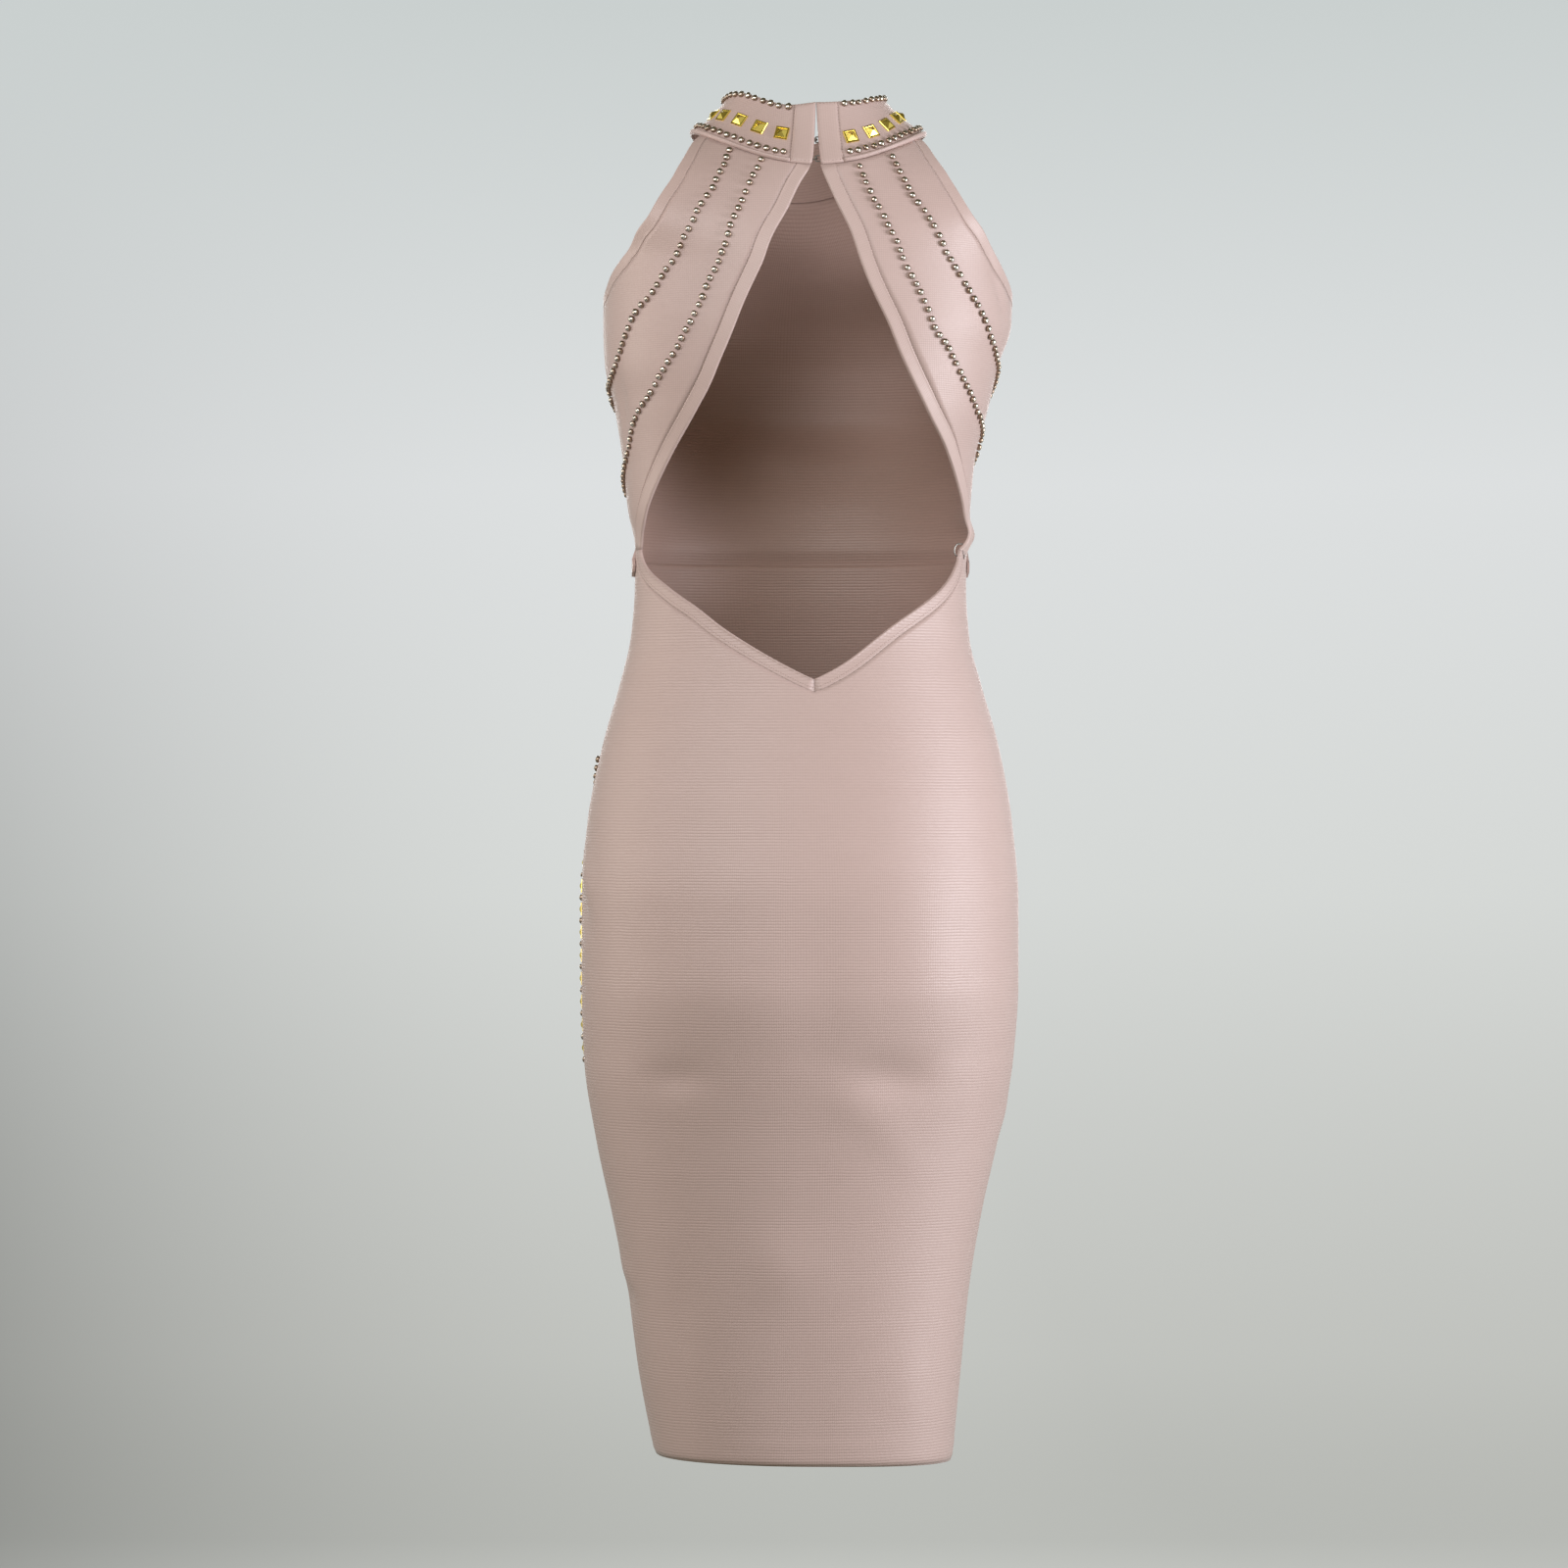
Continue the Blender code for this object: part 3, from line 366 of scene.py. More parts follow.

# %% [markdown]
# ## Creases and swellings
# Even tight cloth isn't quite smooth: it hollows under the seat, bunches at the hip and ripples near
# the hem. A simulation would move these about, so each one is listed as a soft trough
# (negative) or ridge (positive), with its own length, width, slant and height.

# %% Table of creases
Crease = namedtuple("Crease", "turn level length width slant height")
CREASES = [Crease(*row) for row in [
    (53, -0.660, 0.026, 0.012, 3, -0.0026),  # hollows under the seat
    (109, -0.660, 0.030, 0.015, -5, -0.0038),
    (90, -0.600, 0.016, 0.060, 0, -0.0010),
    (64, -0.585, 0.034, 0.040, 10, 0.0012),  # the seat itself
    (118, -0.580, 0.032, 0.042, -8, 0.0014),
    (105, -0.692, 0.044, 0.014, -40, 0.0010),  # pull across the back of the thigh
    (83, -0.796, 0.026, 0.026, 0, 0.0020),  # swellings over the thighs
    (126, -0.885, 0.028, 0.032, 20, 0.0013),
    (45, -0.830, 0.020, 0.050, -12, -0.0010),
    (8, -0.520, 0.012, 0.022, 60, 0.0016),  # bunch at the left hip
    (6, -0.545, 0.010, 0.020, 62, -0.0016),
    (6, -0.800, 0.010, 0.026, 80, 0.0014),  # ripple near the hem
    (5, -0.820, 0.010, 0.022, 84, -0.0014),
    (172, -0.690, 0.012, 0.030, -70, 0.0012),
    (152.5, -0.110, 0.026, 0.0045, -47, -0.0016),  # pull beside the right armhole strip
    (14, -0.185, 0.030, 0.010, 76, -0.0016),  # where the left strap turns under the arm
    (-62, -0.640, 0.040, 0.015, 6, -0.0018),  # the same kinds on the front
    (-118, -0.650, 0.036, 0.015, -8, -0.0020),
    (-90, -0.480, 0.050, 0.030, 0, 0.0012),
    (-88, -0.800, 0.026, 0.050, 3, -0.0012),
    (-52, -0.860, 0.018, 0.040, 14, 0.0011),
    (-30, -0.330, 0.030, 0.008, -16, -0.0010),
    (-150, -0.335, 0.034, 0.008, 18, -0.0011),
    (-90, -0.215, 0.020, 0.014, 0, -0.0014),
]]
BODY_RADIUS = 0.14  # carries degrees round the body to metres along the cloth


def crease_height(places):
    """How far the creases move the cloth out at each place."""
    turn, level = places[..., 0], places[..., 1]
    total = np.zeros(turn.shape)
    for crease in CREASES:
        across = np.radians((turn - crease.turn + 180) % 360 - 180) * BODY_RADIUS
        down = level - crease.level
        c, s = math.cos(math.radians(crease.slant)), math.sin(math.radians(crease.slant))
        a, b = across * c + down * s, down * c - across * s
        total += crease.height * np.exp(-((a / crease.length) ** 2) - (b / crease.width) ** 2)
    return total


def on_cloth(places, height):
    """Points so high above the inside of the creased cloth, and the directions out."""
    out = outward_at(places)
    return on_form(places) + out * (crease_height(places) + height)[..., None], out


print("creases:", len(CREASES))

# %% [markdown]
# ## Closed sheets of cloth
# Real cloth has two faces and an edge, and both faces show here, because the back is open. So each
# panel is a closed wall: an outside grid, an inside grid, and a rim that joins them. The alternative
# is a single surface with a Solidify modifier, but its edges can't be rolled or raised point by point.
# A UV map in metres lets the knit be drawn at its true size, and the distance to the nearest seam is
# kept on each vertex, because shade is painted into the cloth beside its seams. The faces are smooth and
# the rim is flat: a smooth rim would bend the light on the cloth beside it and draw a dark band there.

# %% Build a closed sheet
def grid_faces(number):
    """Quads of a grid, from the numbers of its points."""
    return np.stack([number[:-1, :-1], number[1:, :-1], number[1:, 1:], number[:-1, 1:]], -1).reshape(-1, 4)


def seam_distance(points, sewn):
    """Distance of each point of a grid to the nearest side that gets painted seam shade: first or last row or
    column.
    """
    along, down = lengths_along(points, 1), lengths_along(points)
    sides = {"top": down, "foot": down[-1:] - down, "start": along, "end": along[:, -1:] - along}
    return np.minimum.reduce([np.ones(along.shape)] + [sides[side] for side in sewn])


def add_mesh(name, points, faces, materials, face_materials=None, uvs=None, seams=None, smooth=None):
    """An object from arrays, with its materials, its UV map in metres and its seam distances."""
    mesh = bpy.data.meshes.new(name)
    mesh.from_pydata(points.tolist(), [], faces if isinstance(faces, list) else faces.tolist())
    for material in materials:
        mesh.materials.append(material)
    if face_materials is not None:
        mesh.polygons.foreach_set("material_index", np.asarray(face_materials, np.int32))
    corners = np.zeros(len(mesh.loops), np.int32)
    mesh.loops.foreach_get("vertex_index", corners)
    if uvs is not None:
        layer = mesh.uv_layers.new(name="cloth")
        layer.data.foreach_set("uv", np.asarray(uvs, np.float32)[corners].ravel())
    if seams is not None:
        attribute = mesh.attributes.new("seam", "FLOAT", "POINT")
        attribute.data.foreach_set("value", np.asarray(seams, np.float32))
    mesh.shade_smooth()
    if smooth is not None:
        mesh.polygons.foreach_set("use_smooth", smooth)
    mesh.validate()
    obj = bpy.data.objects.new(name, mesh)
    bpy.context.scene.collection.objects.link(obj)
    return obj


# The sides of a grid beside which shade is painted into the cloth.
ALL_SIDES_SHADED = ("top", "foot", "start", "end")


def cloth_sheet(name, inside, outside, uvs, materials, sewn=ALL_SIDES_SHADED):
    """One closed sheet of cloth from its inside grid and its outside grid."""
    seams = seam_distance(outside, sewn)
    turning = np.cross(outside[0, 1] - outside[0, 0], outside[1, 0] - outside[0, 0])
    if turning @ (outside[0, 0] - inside[0, 0]) > 0:
        inside, outside, uvs, seams = (grid[:, ::-1] for grid in (inside, outside, uvs, seams))
    count = seams.size
    number = np.arange(count).reshape(seams.shape)
    faces = grid_faces(number)
    rim = np.concatenate([number[0], number[1:, -1], number[-1, -2::-1], number[-2:0:-1, 0]])
    following = np.roll(rim, -1)
    sides = np.stack([rim, following, following + count, rim + count], -1)
    all_faces = np.concatenate([faces, faces[:, ::-1] + count, sides])
    points = np.concatenate([outside.reshape(-1, 3), inside.reshape(-1, 3)])
    uvs = np.concatenate([uvs.reshape(-1, 2)] * 2)
    seams = np.concatenate([seams.ravel()] * 2)
    kinds = np.concatenate([np.zeros(len(faces)), np.ones(len(faces)), np.zeros(len(sides))])
    smooth = np.arange(len(all_faces)) < 2 * len(faces)
    return add_mesh(name, points, all_faces, materials, kinds, uvs, seams, smooth)


def sewn_sheet(name, places, heights, uvs, materials, lifts=0.0, sewn=ALL_SIDES_SHADED):
    """A sheet on the form at a grid of places, so thick as heights say, moved by the creases."""
    inside, outward = on_cloth(places, lifts)
    return cloth_sheet(name, inside, inside + outward * heights[..., None], uvs, materials, sewn)


KNIT_RADIUS = 0.135  # the knit's width is drawn for a body of this radius


def knit_uvs(places):
    """UV of a panel: across follows the wales, which draw together at the waist; down is the level."""
    return turn_level(np.radians(places[..., 0]) * KNIT_RADIUS, places[..., 1])


def weave_uvs(places):
    """UV of a strap: across is the true distance round from the centre back, down is the height."""
    turns = 90 + (places[..., :1] - 90) * np.linspace(0, 1, 25)
    rounds = on_form(turn_level(turns, places[..., 1:]))
    across = np.linalg.norm(np.diff(rounds, axis=-2)[..., :2], axis=-1).sum(-1)
    return turn_level(across, rounds[..., -1, 2])


def strip_uvs(places):
    """UV of a strip: along its length, and across its width."""
    points = on_form(places)
    middle = lengths_along(points[len(points) // 2])
    across = lengths_along(points[:, points.shape[1] // 2])
    return np.stack(np.meshgrid(middle, across), -1)


# %% [markdown]
# ## Shader maths in Python
# A material is a recipe of small steps. Written as nodes one by one it is hard to read, so a value
# that travels through the recipe is wrapped in a small class: adding or multiplying two of them adds
# the Math node that does it. Every other node comes from one method, `node`.

# %% Values and recipes
class Shade:
    """A value in a material. Arithmetic on it adds Math nodes."""

    def __init__(self, recipe, socket):
        self.recipe, self.socket = recipe, socket

    def math(self, operation, *values):
        return self.recipe.node("ShaderNodeMath", {"operation": operation}, dict(enumerate(values)))

    def __add__(self, other):
        return self.math("ADD", self, other)

    __radd__ = __add__

    def __sub__(self, other):
        return self.math("SUBTRACT", self, other)

    def __rsub__(self, other):
        return self.math("SUBTRACT", other, self)

    def __mul__(self, other):
        return self.math("MULTIPLY", self, other)

    __rmul__ = __mul__

    def __truediv__(self, other):
        return self.math("DIVIDE", self, other)

    def __pow__(self, power):
        return self.math("POWER", self, power)

    def __abs__(self):
        return self.math("ABSOLUTE", self)

    def sine(self):
        return self.math("SINE", self)

    def clamped(self, low=0.0, high=1.0):
        return self.math("MINIMUM", self.math("MAXIMUM", self, low), high)


class Recipe:
    """A material that is being written."""

    def __init__(self, name):
        self.material = bpy.data.materials.new(name)
        self.material.use_nodes = True
        self.tree = self.material.node_tree
        self.shader = self.tree.nodes["Principled BSDF"]

    def put(self, socket, value):
        """Give a socket a link or a plain value."""
        if isinstance(value, Shade):
            self.tree.links.new(value.socket, socket)
        elif hasattr(socket.default_value, "__len__") and len(socket.default_value) == 4 and len(value) == 3:
            socket.default_value = (*value, 1.0)
        else:
            socket.default_value = value

    def node(self, kind, settings=None, inputs=None, output=0):
        """Any node: its settings first, then the values or links of its sockets."""
        made = self.tree.nodes.new(kind)
        for name, value in (settings or {}).items():
            if name == "stops":
                ramp = made.color_ramp.elements
                while len(ramp) < len(value):
                    ramp.new(0.5)
                for stop, (at, colour) in zip(ramp, value):
                    stop.position, stop.color = at, (*colour, 1.0)
            else:
                setattr(made, name, value)
        for name, value in (inputs or {}).items():
            self.put(made.inputs[name], value)
        return Shade(self, made.outputs[output])

    def noise(self, scale, detail=2.0, roughness=0.5, along=None):
        """Soft random values from 0 to 1, the same size in every direction unless along stretches them."""
        place = self.node("ShaderNodeTexCoord", output="Object")
        if along:
            place = self.node("ShaderNodeVectorMath", {"operation": "MULTIPLY"}, {0: place, 1: along})
        sockets = {"Vector": place, "Scale": scale, "Detail": detail, "Roughness": roughness}
        return self.node("ShaderNodeTexNoise", {}, sockets)

    def part(self, vector, axis):
        """One coordinate of a vector."""
        return self.node("ShaderNodeSeparateXYZ", {}, {0: vector}, output="XYZ".index(axis))

    def blend(self, factor, first, second, how="MIX"):
        """Two colours mixed by a factor."""
        sockets = {"Factor": factor, 6: first, 7: second}
        return self.node("ShaderNodeMix", {"data_type": "RGBA", "blend_type": how}, sockets, output=2)

    def finish(self, **sockets):
        """Connect the recipe to the shader's sockets, named with _ for a blank."""
        for name, value in sockets.items():
            self.put(self.shader.inputs[name.replace("_", " ")], value)
        return self.material


# %% [markdown]
# ## The knit
# Bandage knit is heavy rayon with fine round ribs that lie round the body, and much finer wales that
# run down it. A bump can carry both, because they are far too small to matter to the outline. Shade
# is painted into the colour: darker in the grooves between ribs and between wales, darker still beside
# the seams, and the inside of the cloth is a darker copy of the knit. A soft sheen lifts the colour
# where the cloth turns away. Colour and gloss also wander a little, as hand-finished knit does.

# %% Knit materials
KNIT_COLOUR = (0.615, 0.459, 0.421)
KNIT_PAINTED_SHADE_AND_TONE = (0.37, 0.255, 0.22)
INSIDE_PAINTED_SHADE_COLOUR = (0.46, 0.315, 0.265)
PAINTED_SEAM_SHADE_WIDTH = 0.0007


def knit(name, colour, shade, rib=0.0021, wale=0.0013, rib_depth=0.00030, wale_share=0.35, painted_seam_shade=0.5):
    """A knit with ribs every rib metres and wales every wale metres. Its colour darkens towards shade:
    painted shade in the grooves and beside the seams, and a random darker tone.
    """
    r = Recipe(name)
    place = r.node("ShaderNodeUVMap", {"uv_map": "cloth"})
    across, down = r.part(place, "X"), r.part(place, "Y")
    drift = r.noise(55.0, 2.0) * 0.0011
    ribs = abs(((down + drift) * (math.pi / rib)).sine()) ** 0.65
    wales = abs(((across + drift * 0.5) * (math.pi / wale)).sine())
    soft = r.noise(7.0, 3.0)
    fine = r.noise(420.0, 2.0)
    cloudy = r.noise(28.0, 3.0, 0.6, along=(1.0, 1.0, 2.6))
    seam = (r.node("ShaderNodeAttribute", {"attribute_name": "seam"}, output=2) / PAINTED_SEAM_SHADE_WIDTH).clamped()
    # Painted shade: the colour darkens in the grooves between ribs and between wales, and beside the seams;
    # the noises add tone that differs at random.
    depth = (1 - ribs) * 0.25 + (1 - wales) * (0.20 * wale_share) + (soft - 0.5) * 0.14
    depth = depth + (cloudy - 0.5) * 0.14 + (fine - 0.5) * 0.12 + (1 - seam) * painted_seam_shade
    base = r.blend(depth.clamped(), colour, shade)
    height = ribs + wales * wale_share + fine * 0.25
    bump = r.node("ShaderNodeBump", {}, {"Strength": 0.5, "Distance": rib_depth, "Height": height})
    rough = 0.40 + (1 - ribs) * 0.14 + (fine - 0.5) * 0.10
    return r.finish(Base_Color=base, Roughness=rough, Normal=bump, Sheen_Weight=0.25,
                    Sheen_Roughness=0.45, Sheen_Tint=(1.0, 0.90, 0.86, 1.0))


knit_outside = knit("blush_bandage_knit", KNIT_COLOUR, KNIT_PAINTED_SHADE_AND_TONE)
# Painted shade: the inside of the cloth is a darker copy of the knit, for the shade inside the dress.
knit_inside_painted_shade = knit("blush_knit_inside", INSIDE_PAINTED_SHADE_COLOUR, (0.24, 0.14, 0.11))
strap_outside = knit("blush_strap_knit", KNIT_COLOUR, KNIT_PAINTED_SHADE_AND_TONE, rib=0.0015, wale=0.0015,
                     rib_depth=0.00012, wale_share=0.8)
strip_outside = knit("blush_strip_knit", (0.63, 0.475, 0.435), (0.41, 0.285, 0.245), rib=0.0011,
                     wale=0.0016, rib_depth=0.00008, wale_share=0.7, painted_seam_shade=0.25)
PANEL_KNIT, STRAP_KNIT, STRIP_KNIT = ([outer, knit_inside_painted_shade] for outer in (knit_outside, strap_outside,
                                                                        strip_outside))
print("knit materials:", [m.name for m in (knit_outside, knit_inside_painted_shade, strap_outside, strip_outside)])

# %% [markdown]
# ## The skirt
# The skirt is two panels sewn at the sides. The back one is cut down to a point at the centre back.
# Its rows run evenly from that dipped edge to the hem, and the columns stay about 4 mm wide, which is
# fine enough for the creases. The hem is turned up once: its edge is rounded, and a low ridge above it
# shows where the turning ends.

# %% Skirt panels
SKIRT_ROWS = 150
SKIRT_COLUMNS = 108
SIDE_GAP = 0.01  # half of the side seam's gap, in degrees
HEM_TURNING = 0.014


def hem_level(turn):
    """Level of the hem, which hangs a little lower at the wearer's right."""
    return HEM + HEM_TILT * (1 + np.cos(np.radians(turn))) / 2


def hem_heights(places):
    """Thickness of the skirt: even, with a ridge where the hem's turning ends and a rounded edge."""
    up = places[..., 1] - hem_level(places[..., 0])
    ridge = 0.0004 * np.exp(-((up - HEM_TURNING) / 0.0014) ** 2)
    return CLOTH + ridge - 0.0009 * np.exp(-(up / 0.0008) ** 2)


def skirt_panel(name, top, foot_turns, sewn):
    """A panel of the skirt, from its top edge down to the hem."""
    foot = turn_level(foot_turns, hem_level(foot_turns))
    places = between(top, foot, np.linspace(0, 1, SKIRT_ROWS))
    panel = sewn_sheet(name, places, hem_heights(places), knit_uvs(places), PANEL_KNIT, sewn=sewn)
    print(name, "faces:", len(panel.data.polygons))


inset = WAIST_STRIP + STRIP_SEAM
dip_left, dip_right = (dip_edge(side, inset, 90.0, 48) for side in HAND)
first, last = SIDE_SEAM["left"] + SIDE_GAP, SIDE_SEAM["right"] - SIDE_GAP
side_left = turn_level(np.linspace(first, dip_left[0, 0], 6)[:-1], dip_left[0, 1])
side_right = turn_level(np.linspace(last, dip_right[0, 0], 6)[:-1], dip_right[0, 1])
skirt_top = np.concatenate([side_left, dip_left, dip_right[::-1][1:], side_right[::-1]])
skirt_panel("skirt_back_cloth", skirt_top, first + (last - first) * shares_along(skirt_top), ("start", "end"))
turns = np.linspace(-SIDE_GAP, -180 + SIDE_GAP, SKIRT_COLUMNS)
skirt_panel("skirt_front_cloth", turn_level(turns, SKIRT_FRONT_TOP), turns, ALL_SIDES_SHADED)

# %% [markdown]
# ## The bodice
# The bodice front runs from the collar to the waist in one piece, and its foot laps over the skirt
# with a small step. The back has only two broad straps, from the collar over the shoulder blades to
# the sides of the waist, each between its armhole strip and the strip along the open back.

# %% Bodice front
LAP_START = -0.2875
LAP_LIFT = CLOTH + 0.0006
LAP_ROWS = [  # level, and how many degrees its ends are turned in
    (-0.2945, 0.0), (-0.2962, 2.2), (-0.2995, 4.0), (-0.3035, 2.6), (-0.3070, -2.5)]
PRESSED = 0.0012  # what a sheet is pressed to at the collar seam
PRESSED_REACH = 0.004
ARM_STEPS = 44
BODICE_ROWS = 70
NECK_FOOT = (0.42, 0.58)  # where the columns under the neck stand on the waist, as shares of its width


def thinned(heights, distance):
    """Heights that are pressed thin near the collar seam, at distance zero."""
    return PRESSED + (heights - PRESSED) * np.clip(distance / PRESSED_REACH, 0, 1)


def panel_armhole(side):
    """The panels' armhole edge, in two at the side seam: the back's part and the front's part."""
    edge = armhole_edge(side, ARMHOLE_STRIP + STRIP_SEAM, ARM_STEPS)
    gap, level = HAND[side] * SIDE_GAP, edge[ARM_STEPS][1]
    back = np.concatenate([edge[:ARM_STEPS], [[SIDE_SEAM[side] + gap, level]]])
    return back, np.concatenate([[[SIDE_SEAM[side] - gap, level]], edge[ARM_STEPS + 1 :]])


front_left, front_right = panel_armhole("left")[1], panel_armhole("right")[1]
front_right = front_right[::-1] - np.array([360.0, 0.0])
neck = turn_level(np.linspace(front_left[-1, 0], front_right[0, 0], 34)[1:-1], PANEL_TOP)
bodice_top = np.concatenate([front_left, neck, front_right])
seam_left, seam_right = bodice_top[0, 0], bodice_top[-1, 0]
# Above the chest the armholes turn outwards, so the columns below them lean in to the centre front.
shares = shares_along(bodice_top)
shares = np.interp(shares, [0, shares[len(front_left)], shares[-len(front_right) - 1], 1], [0, *NECK_FOOT, 1])
foot = turn_level(seam_left + (seam_right - seam_left) * shares, LAP_START)
down = np.linspace(0, 1, BODICE_ROWS)
rows = between(bodice_top, foot, down)
rows[..., 0] = between(bodice_top, foot, 1 - (1 - down) ** 2)[..., 0]
lap = [turn_level(seam_left + wrap + (seam_right - seam_left - 2 * wrap) * shares, level)
       for level, wrap in LAP_ROWS]
places = np.concatenate([rows, lap])
lifts = np.repeat([0.0, LAP_LIFT], [len(rows), len(lap)])[:, None]
off_neck = np.where(np.abs(bodice_top[:, 1] - PANEL_TOP) < 1e-4, 0, 1)
heights = thinned(np.full(places.shape[:2], CLOTH), np.abs(places[..., 1] - PANEL_TOP) + off_neck)
bodice = sewn_sheet("bodice_front_cloth", places, heights, knit_uvs(places), PANEL_KNIT, lifts,
                    sewn=("top",))
print("bodice_front_cloth faces:", len(bodice.data.polygons))

# %% Back straps
SEAM_STEPS = 44
STRAP_ROWS = 24
for side in HAND:
    outer = panel_armhole(side)[0]
    seam_turn, arm_level = outer[-1]
    seam_levels = np.linspace(arm_level, STRAP_FOOT, SEAM_STEPS + 1)[1:]
    outer = np.concatenate([outer, turn_level(seam_turn, seam_levels)])
    inner = opening_edge(side, OPENING_STRIP + STRIP_SEAM, ARM_STEPS + SEAM_STEPS)
    places = between(outer, inner, np.linspace(0, 1, STRAP_ROWS))
    heights = thinned(np.full(places.shape[:2], CLOTH), lengths_along(on_form(places), 1))
    strap = sewn_sheet(f"back_strap_cloth_{side}", places, heights, weave_uvs(places), STRAP_KNIT,
                       sewn=("top", "start"))
    print(strap.name, "faces:", len(strap.data.polygons))

# %% [markdown]
# ## The folded strips
# Every free edge is finished with a strip of the same knit, folded double. Its outer edge is rolled,
# its middle is flat, and along the panel it ends in a raised welt. The profile is a short table of
# share across the strip and height, and a grid is drawn through it along the edge.

# %% Strips
WELT_PROFILE = [(0.0, 0.0006), (0.02, 0.0011), (0.05, 0.0017), (0.10, 0.0020), (0.20, 0.0020), (0.45, 0.0019),
                (0.76, 0.0019), (0.82, 0.0019), (0.87, 0.0020), (0.92, 0.0021), (0.96, 0.0020), (1.0, 0.0018)]
FLAT_PROFILE = [(0.0, 0.0006), (0.02, 0.0012), (0.05, 0.0019), (0.09, 0.0022), (0.13, 0.0022), (0.18, 0.0019),
                (0.26, 0.0018), (0.50, 0.0018), (0.70, 0.0018), (0.82, 0.0018), (0.92, 0.0018), (1.0, 0.0018)]


def build_strip(name, edge, width, profile, thin_ends, materials, sewn=("foot",), uvs=strip_uvs):
    """A folded strip along an edge; edge(distance) gives the edge moved in by a distance."""
    places = np.array([edge(share * width) for share, _ in profile])
    heights = np.array([[height] * places.shape[1] for _, height in profile])
    along = lengths_along(on_form(places[len(profile) // 2]))
    for end in thin_ends:
        heights = thinned(heights, along if end == 0 else along[-1] - along)
    strip = sewn_sheet(name, places, heights, uvs(places), materials, sewn=sewn)
    print(name, "faces:", len(strip.data.polygons))


MITRE_GAP = 0.05  # from the centre back to each waist strip's mitred end, in degrees
for side in HAND:
    mitre = 90.0 - HAND[side] * MITRE_GAP
    build_strip(f"armhole_strip_cloth_{side}", lambda d: armhole_edge(side, d, 70), ARMHOLE_STRIP,
                WELT_PROFILE, (0, -1), STRIP_KNIT)
    build_strip(f"back_opening_strip_cloth_{side}", lambda d: opening_edge(side, d, 110), OPENING_STRIP,
                WELT_PROFILE, (0,), STRIP_KNIT, ())
    build_strip(f"waist_strip_cloth_{side}", lambda d: dip_edge(side, d, mitre, 70), WAIST_STRIP,
                FLAT_PROFILE, (), PANEL_KNIT, (), knit_uvs)

# %% [markdown]
# ## The collar
# The stand collar is one curved band with a cord along its foot. It ends in two folded tabs at the
# centre back, which hooks and eyes hold together. The left and right tabs differ a little, and the
# gap between them widens downwards.

# %% Collar
COLLAR_CLOTH = 0.0022
COLLAR_SAG = 0.0015
COLLAR_FLARE = 0.0040  # how far its foot stands out over the armholes
FLARE_TOP = 0.45  # share of the collar's height where the flare ends
TAB_CLOTH = 0.0030
Tab = namedtuple("Tab", "inner_foot inner_top outer_foot outer_top")
TABS = {
    "left": Tab(0.0029, -0.0030, 0.0167, 0.0114),
    "right": Tab(-0.0058, -0.0034, -0.0212, -0.0179),
}
COLLAR_WAVE = [(-60.0, 0.0), (0.0, -0.0010), (34.0, 0.0027), (72.0, -0.0024), (92.0, 0.0)]  # rise of the top
COLLAR_PROFILE = [(0.0, 0.0012), (0.012, 0.0027), (0.028, 0.0034), (0.046, 0.0034), (0.062, 0.0026),
                  (0.074, 0.0018), (0.09, 0.0021), (0.12, 0.0022), (0.90, 0.0022), (0.945, 0.0024),
                  (0.975, 0.0022), (0.992, 0.0018), (1.0, 0.0012)]


def collar_point(spots):
    """Points inside the collar at spots (turn, share of its height), hollow between its two edges."""
    turn, share = spots[..., 0], spots[..., 1]
    foot = ring_point(FORM[0], turn, COLLAR_CLOTH)
    top = ring_point(COLLAR_TOP, turn, COLLAR_CLOTH)
    top[..., 2] += smooth_values(*zip(*COLLAR_WAVE), turn)
    points = foot + (top - foot) * share[..., None]
    out = points - np.array([0.0, FORM[0].middle, 0.0])
    out[..., 2] = 0.0
    at_side = np.clip((np.cos(np.radians(turn)) ** 2 - 0.45) / 0.55, 0, 1)
    flare = COLLAR_FLARE * at_side * np.clip(1 - share / FLARE_TOP, 0, 1) ** 1.5
    return points + unit(out) * (flare - COLLAR_SAG * np.sin(np.pi * share))[..., None]


def collar_outward(spots):
    """Directions straight out of the collar."""
    turn, up = np.array([0.5, 0.0]), np.array([0.0, 0.02])
    along = collar_point(spots + turn) - collar_point(spots - turn)
    rise = collar_point(spots + up) - collar_point(spots - up)
    return unit(np.cross(along, rise))


def on_collar(spots, height):
    """Points so high above the inside of the collar, and the directions out."""
    out = collar_outward(spots)
    return collar_point(spots) + out * height, out


def collar_turn(across, share):
    """The turn at which the back of the collar is so far across from the centre plane."""
    side = "left" if across >= 0 else "right"
    half = (1 - share) * getattr(FORM[0], side) + share * getattr(COLLAR_TOP, side) - COLLAR_CLOTH
    return math.degrees(math.acos(across / half))


TAB_CURVE = {"inner": 0.40, "outer": 1.0}  # below one, an edge bends away only near its foot


def tab_line(side, edge, share):
    """How far across a tab's inner or outer edge is, at a share of the collar's height."""
    foot, top = getattr(TABS[side], edge + "_foot"), getattr(TABS[side], edge + "_top")
    return foot + (top - foot) * share ** TAB_CURVE[edge]


def collar_sheet(name, spots, heights, materials, sewn=("top",)):
    """A closed sheet on the collar."""
    inside = collar_point(spots)
    outside = on_collar(spots, heights[..., None])[0]
    uvs = turn_level(lengths_along(inside, 1), lengths_along(inside))
    sheet = cloth_sheet(name, inside, outside, uvs, materials, sewn)
    print(name, "faces:", len(sheet.data.polygons))


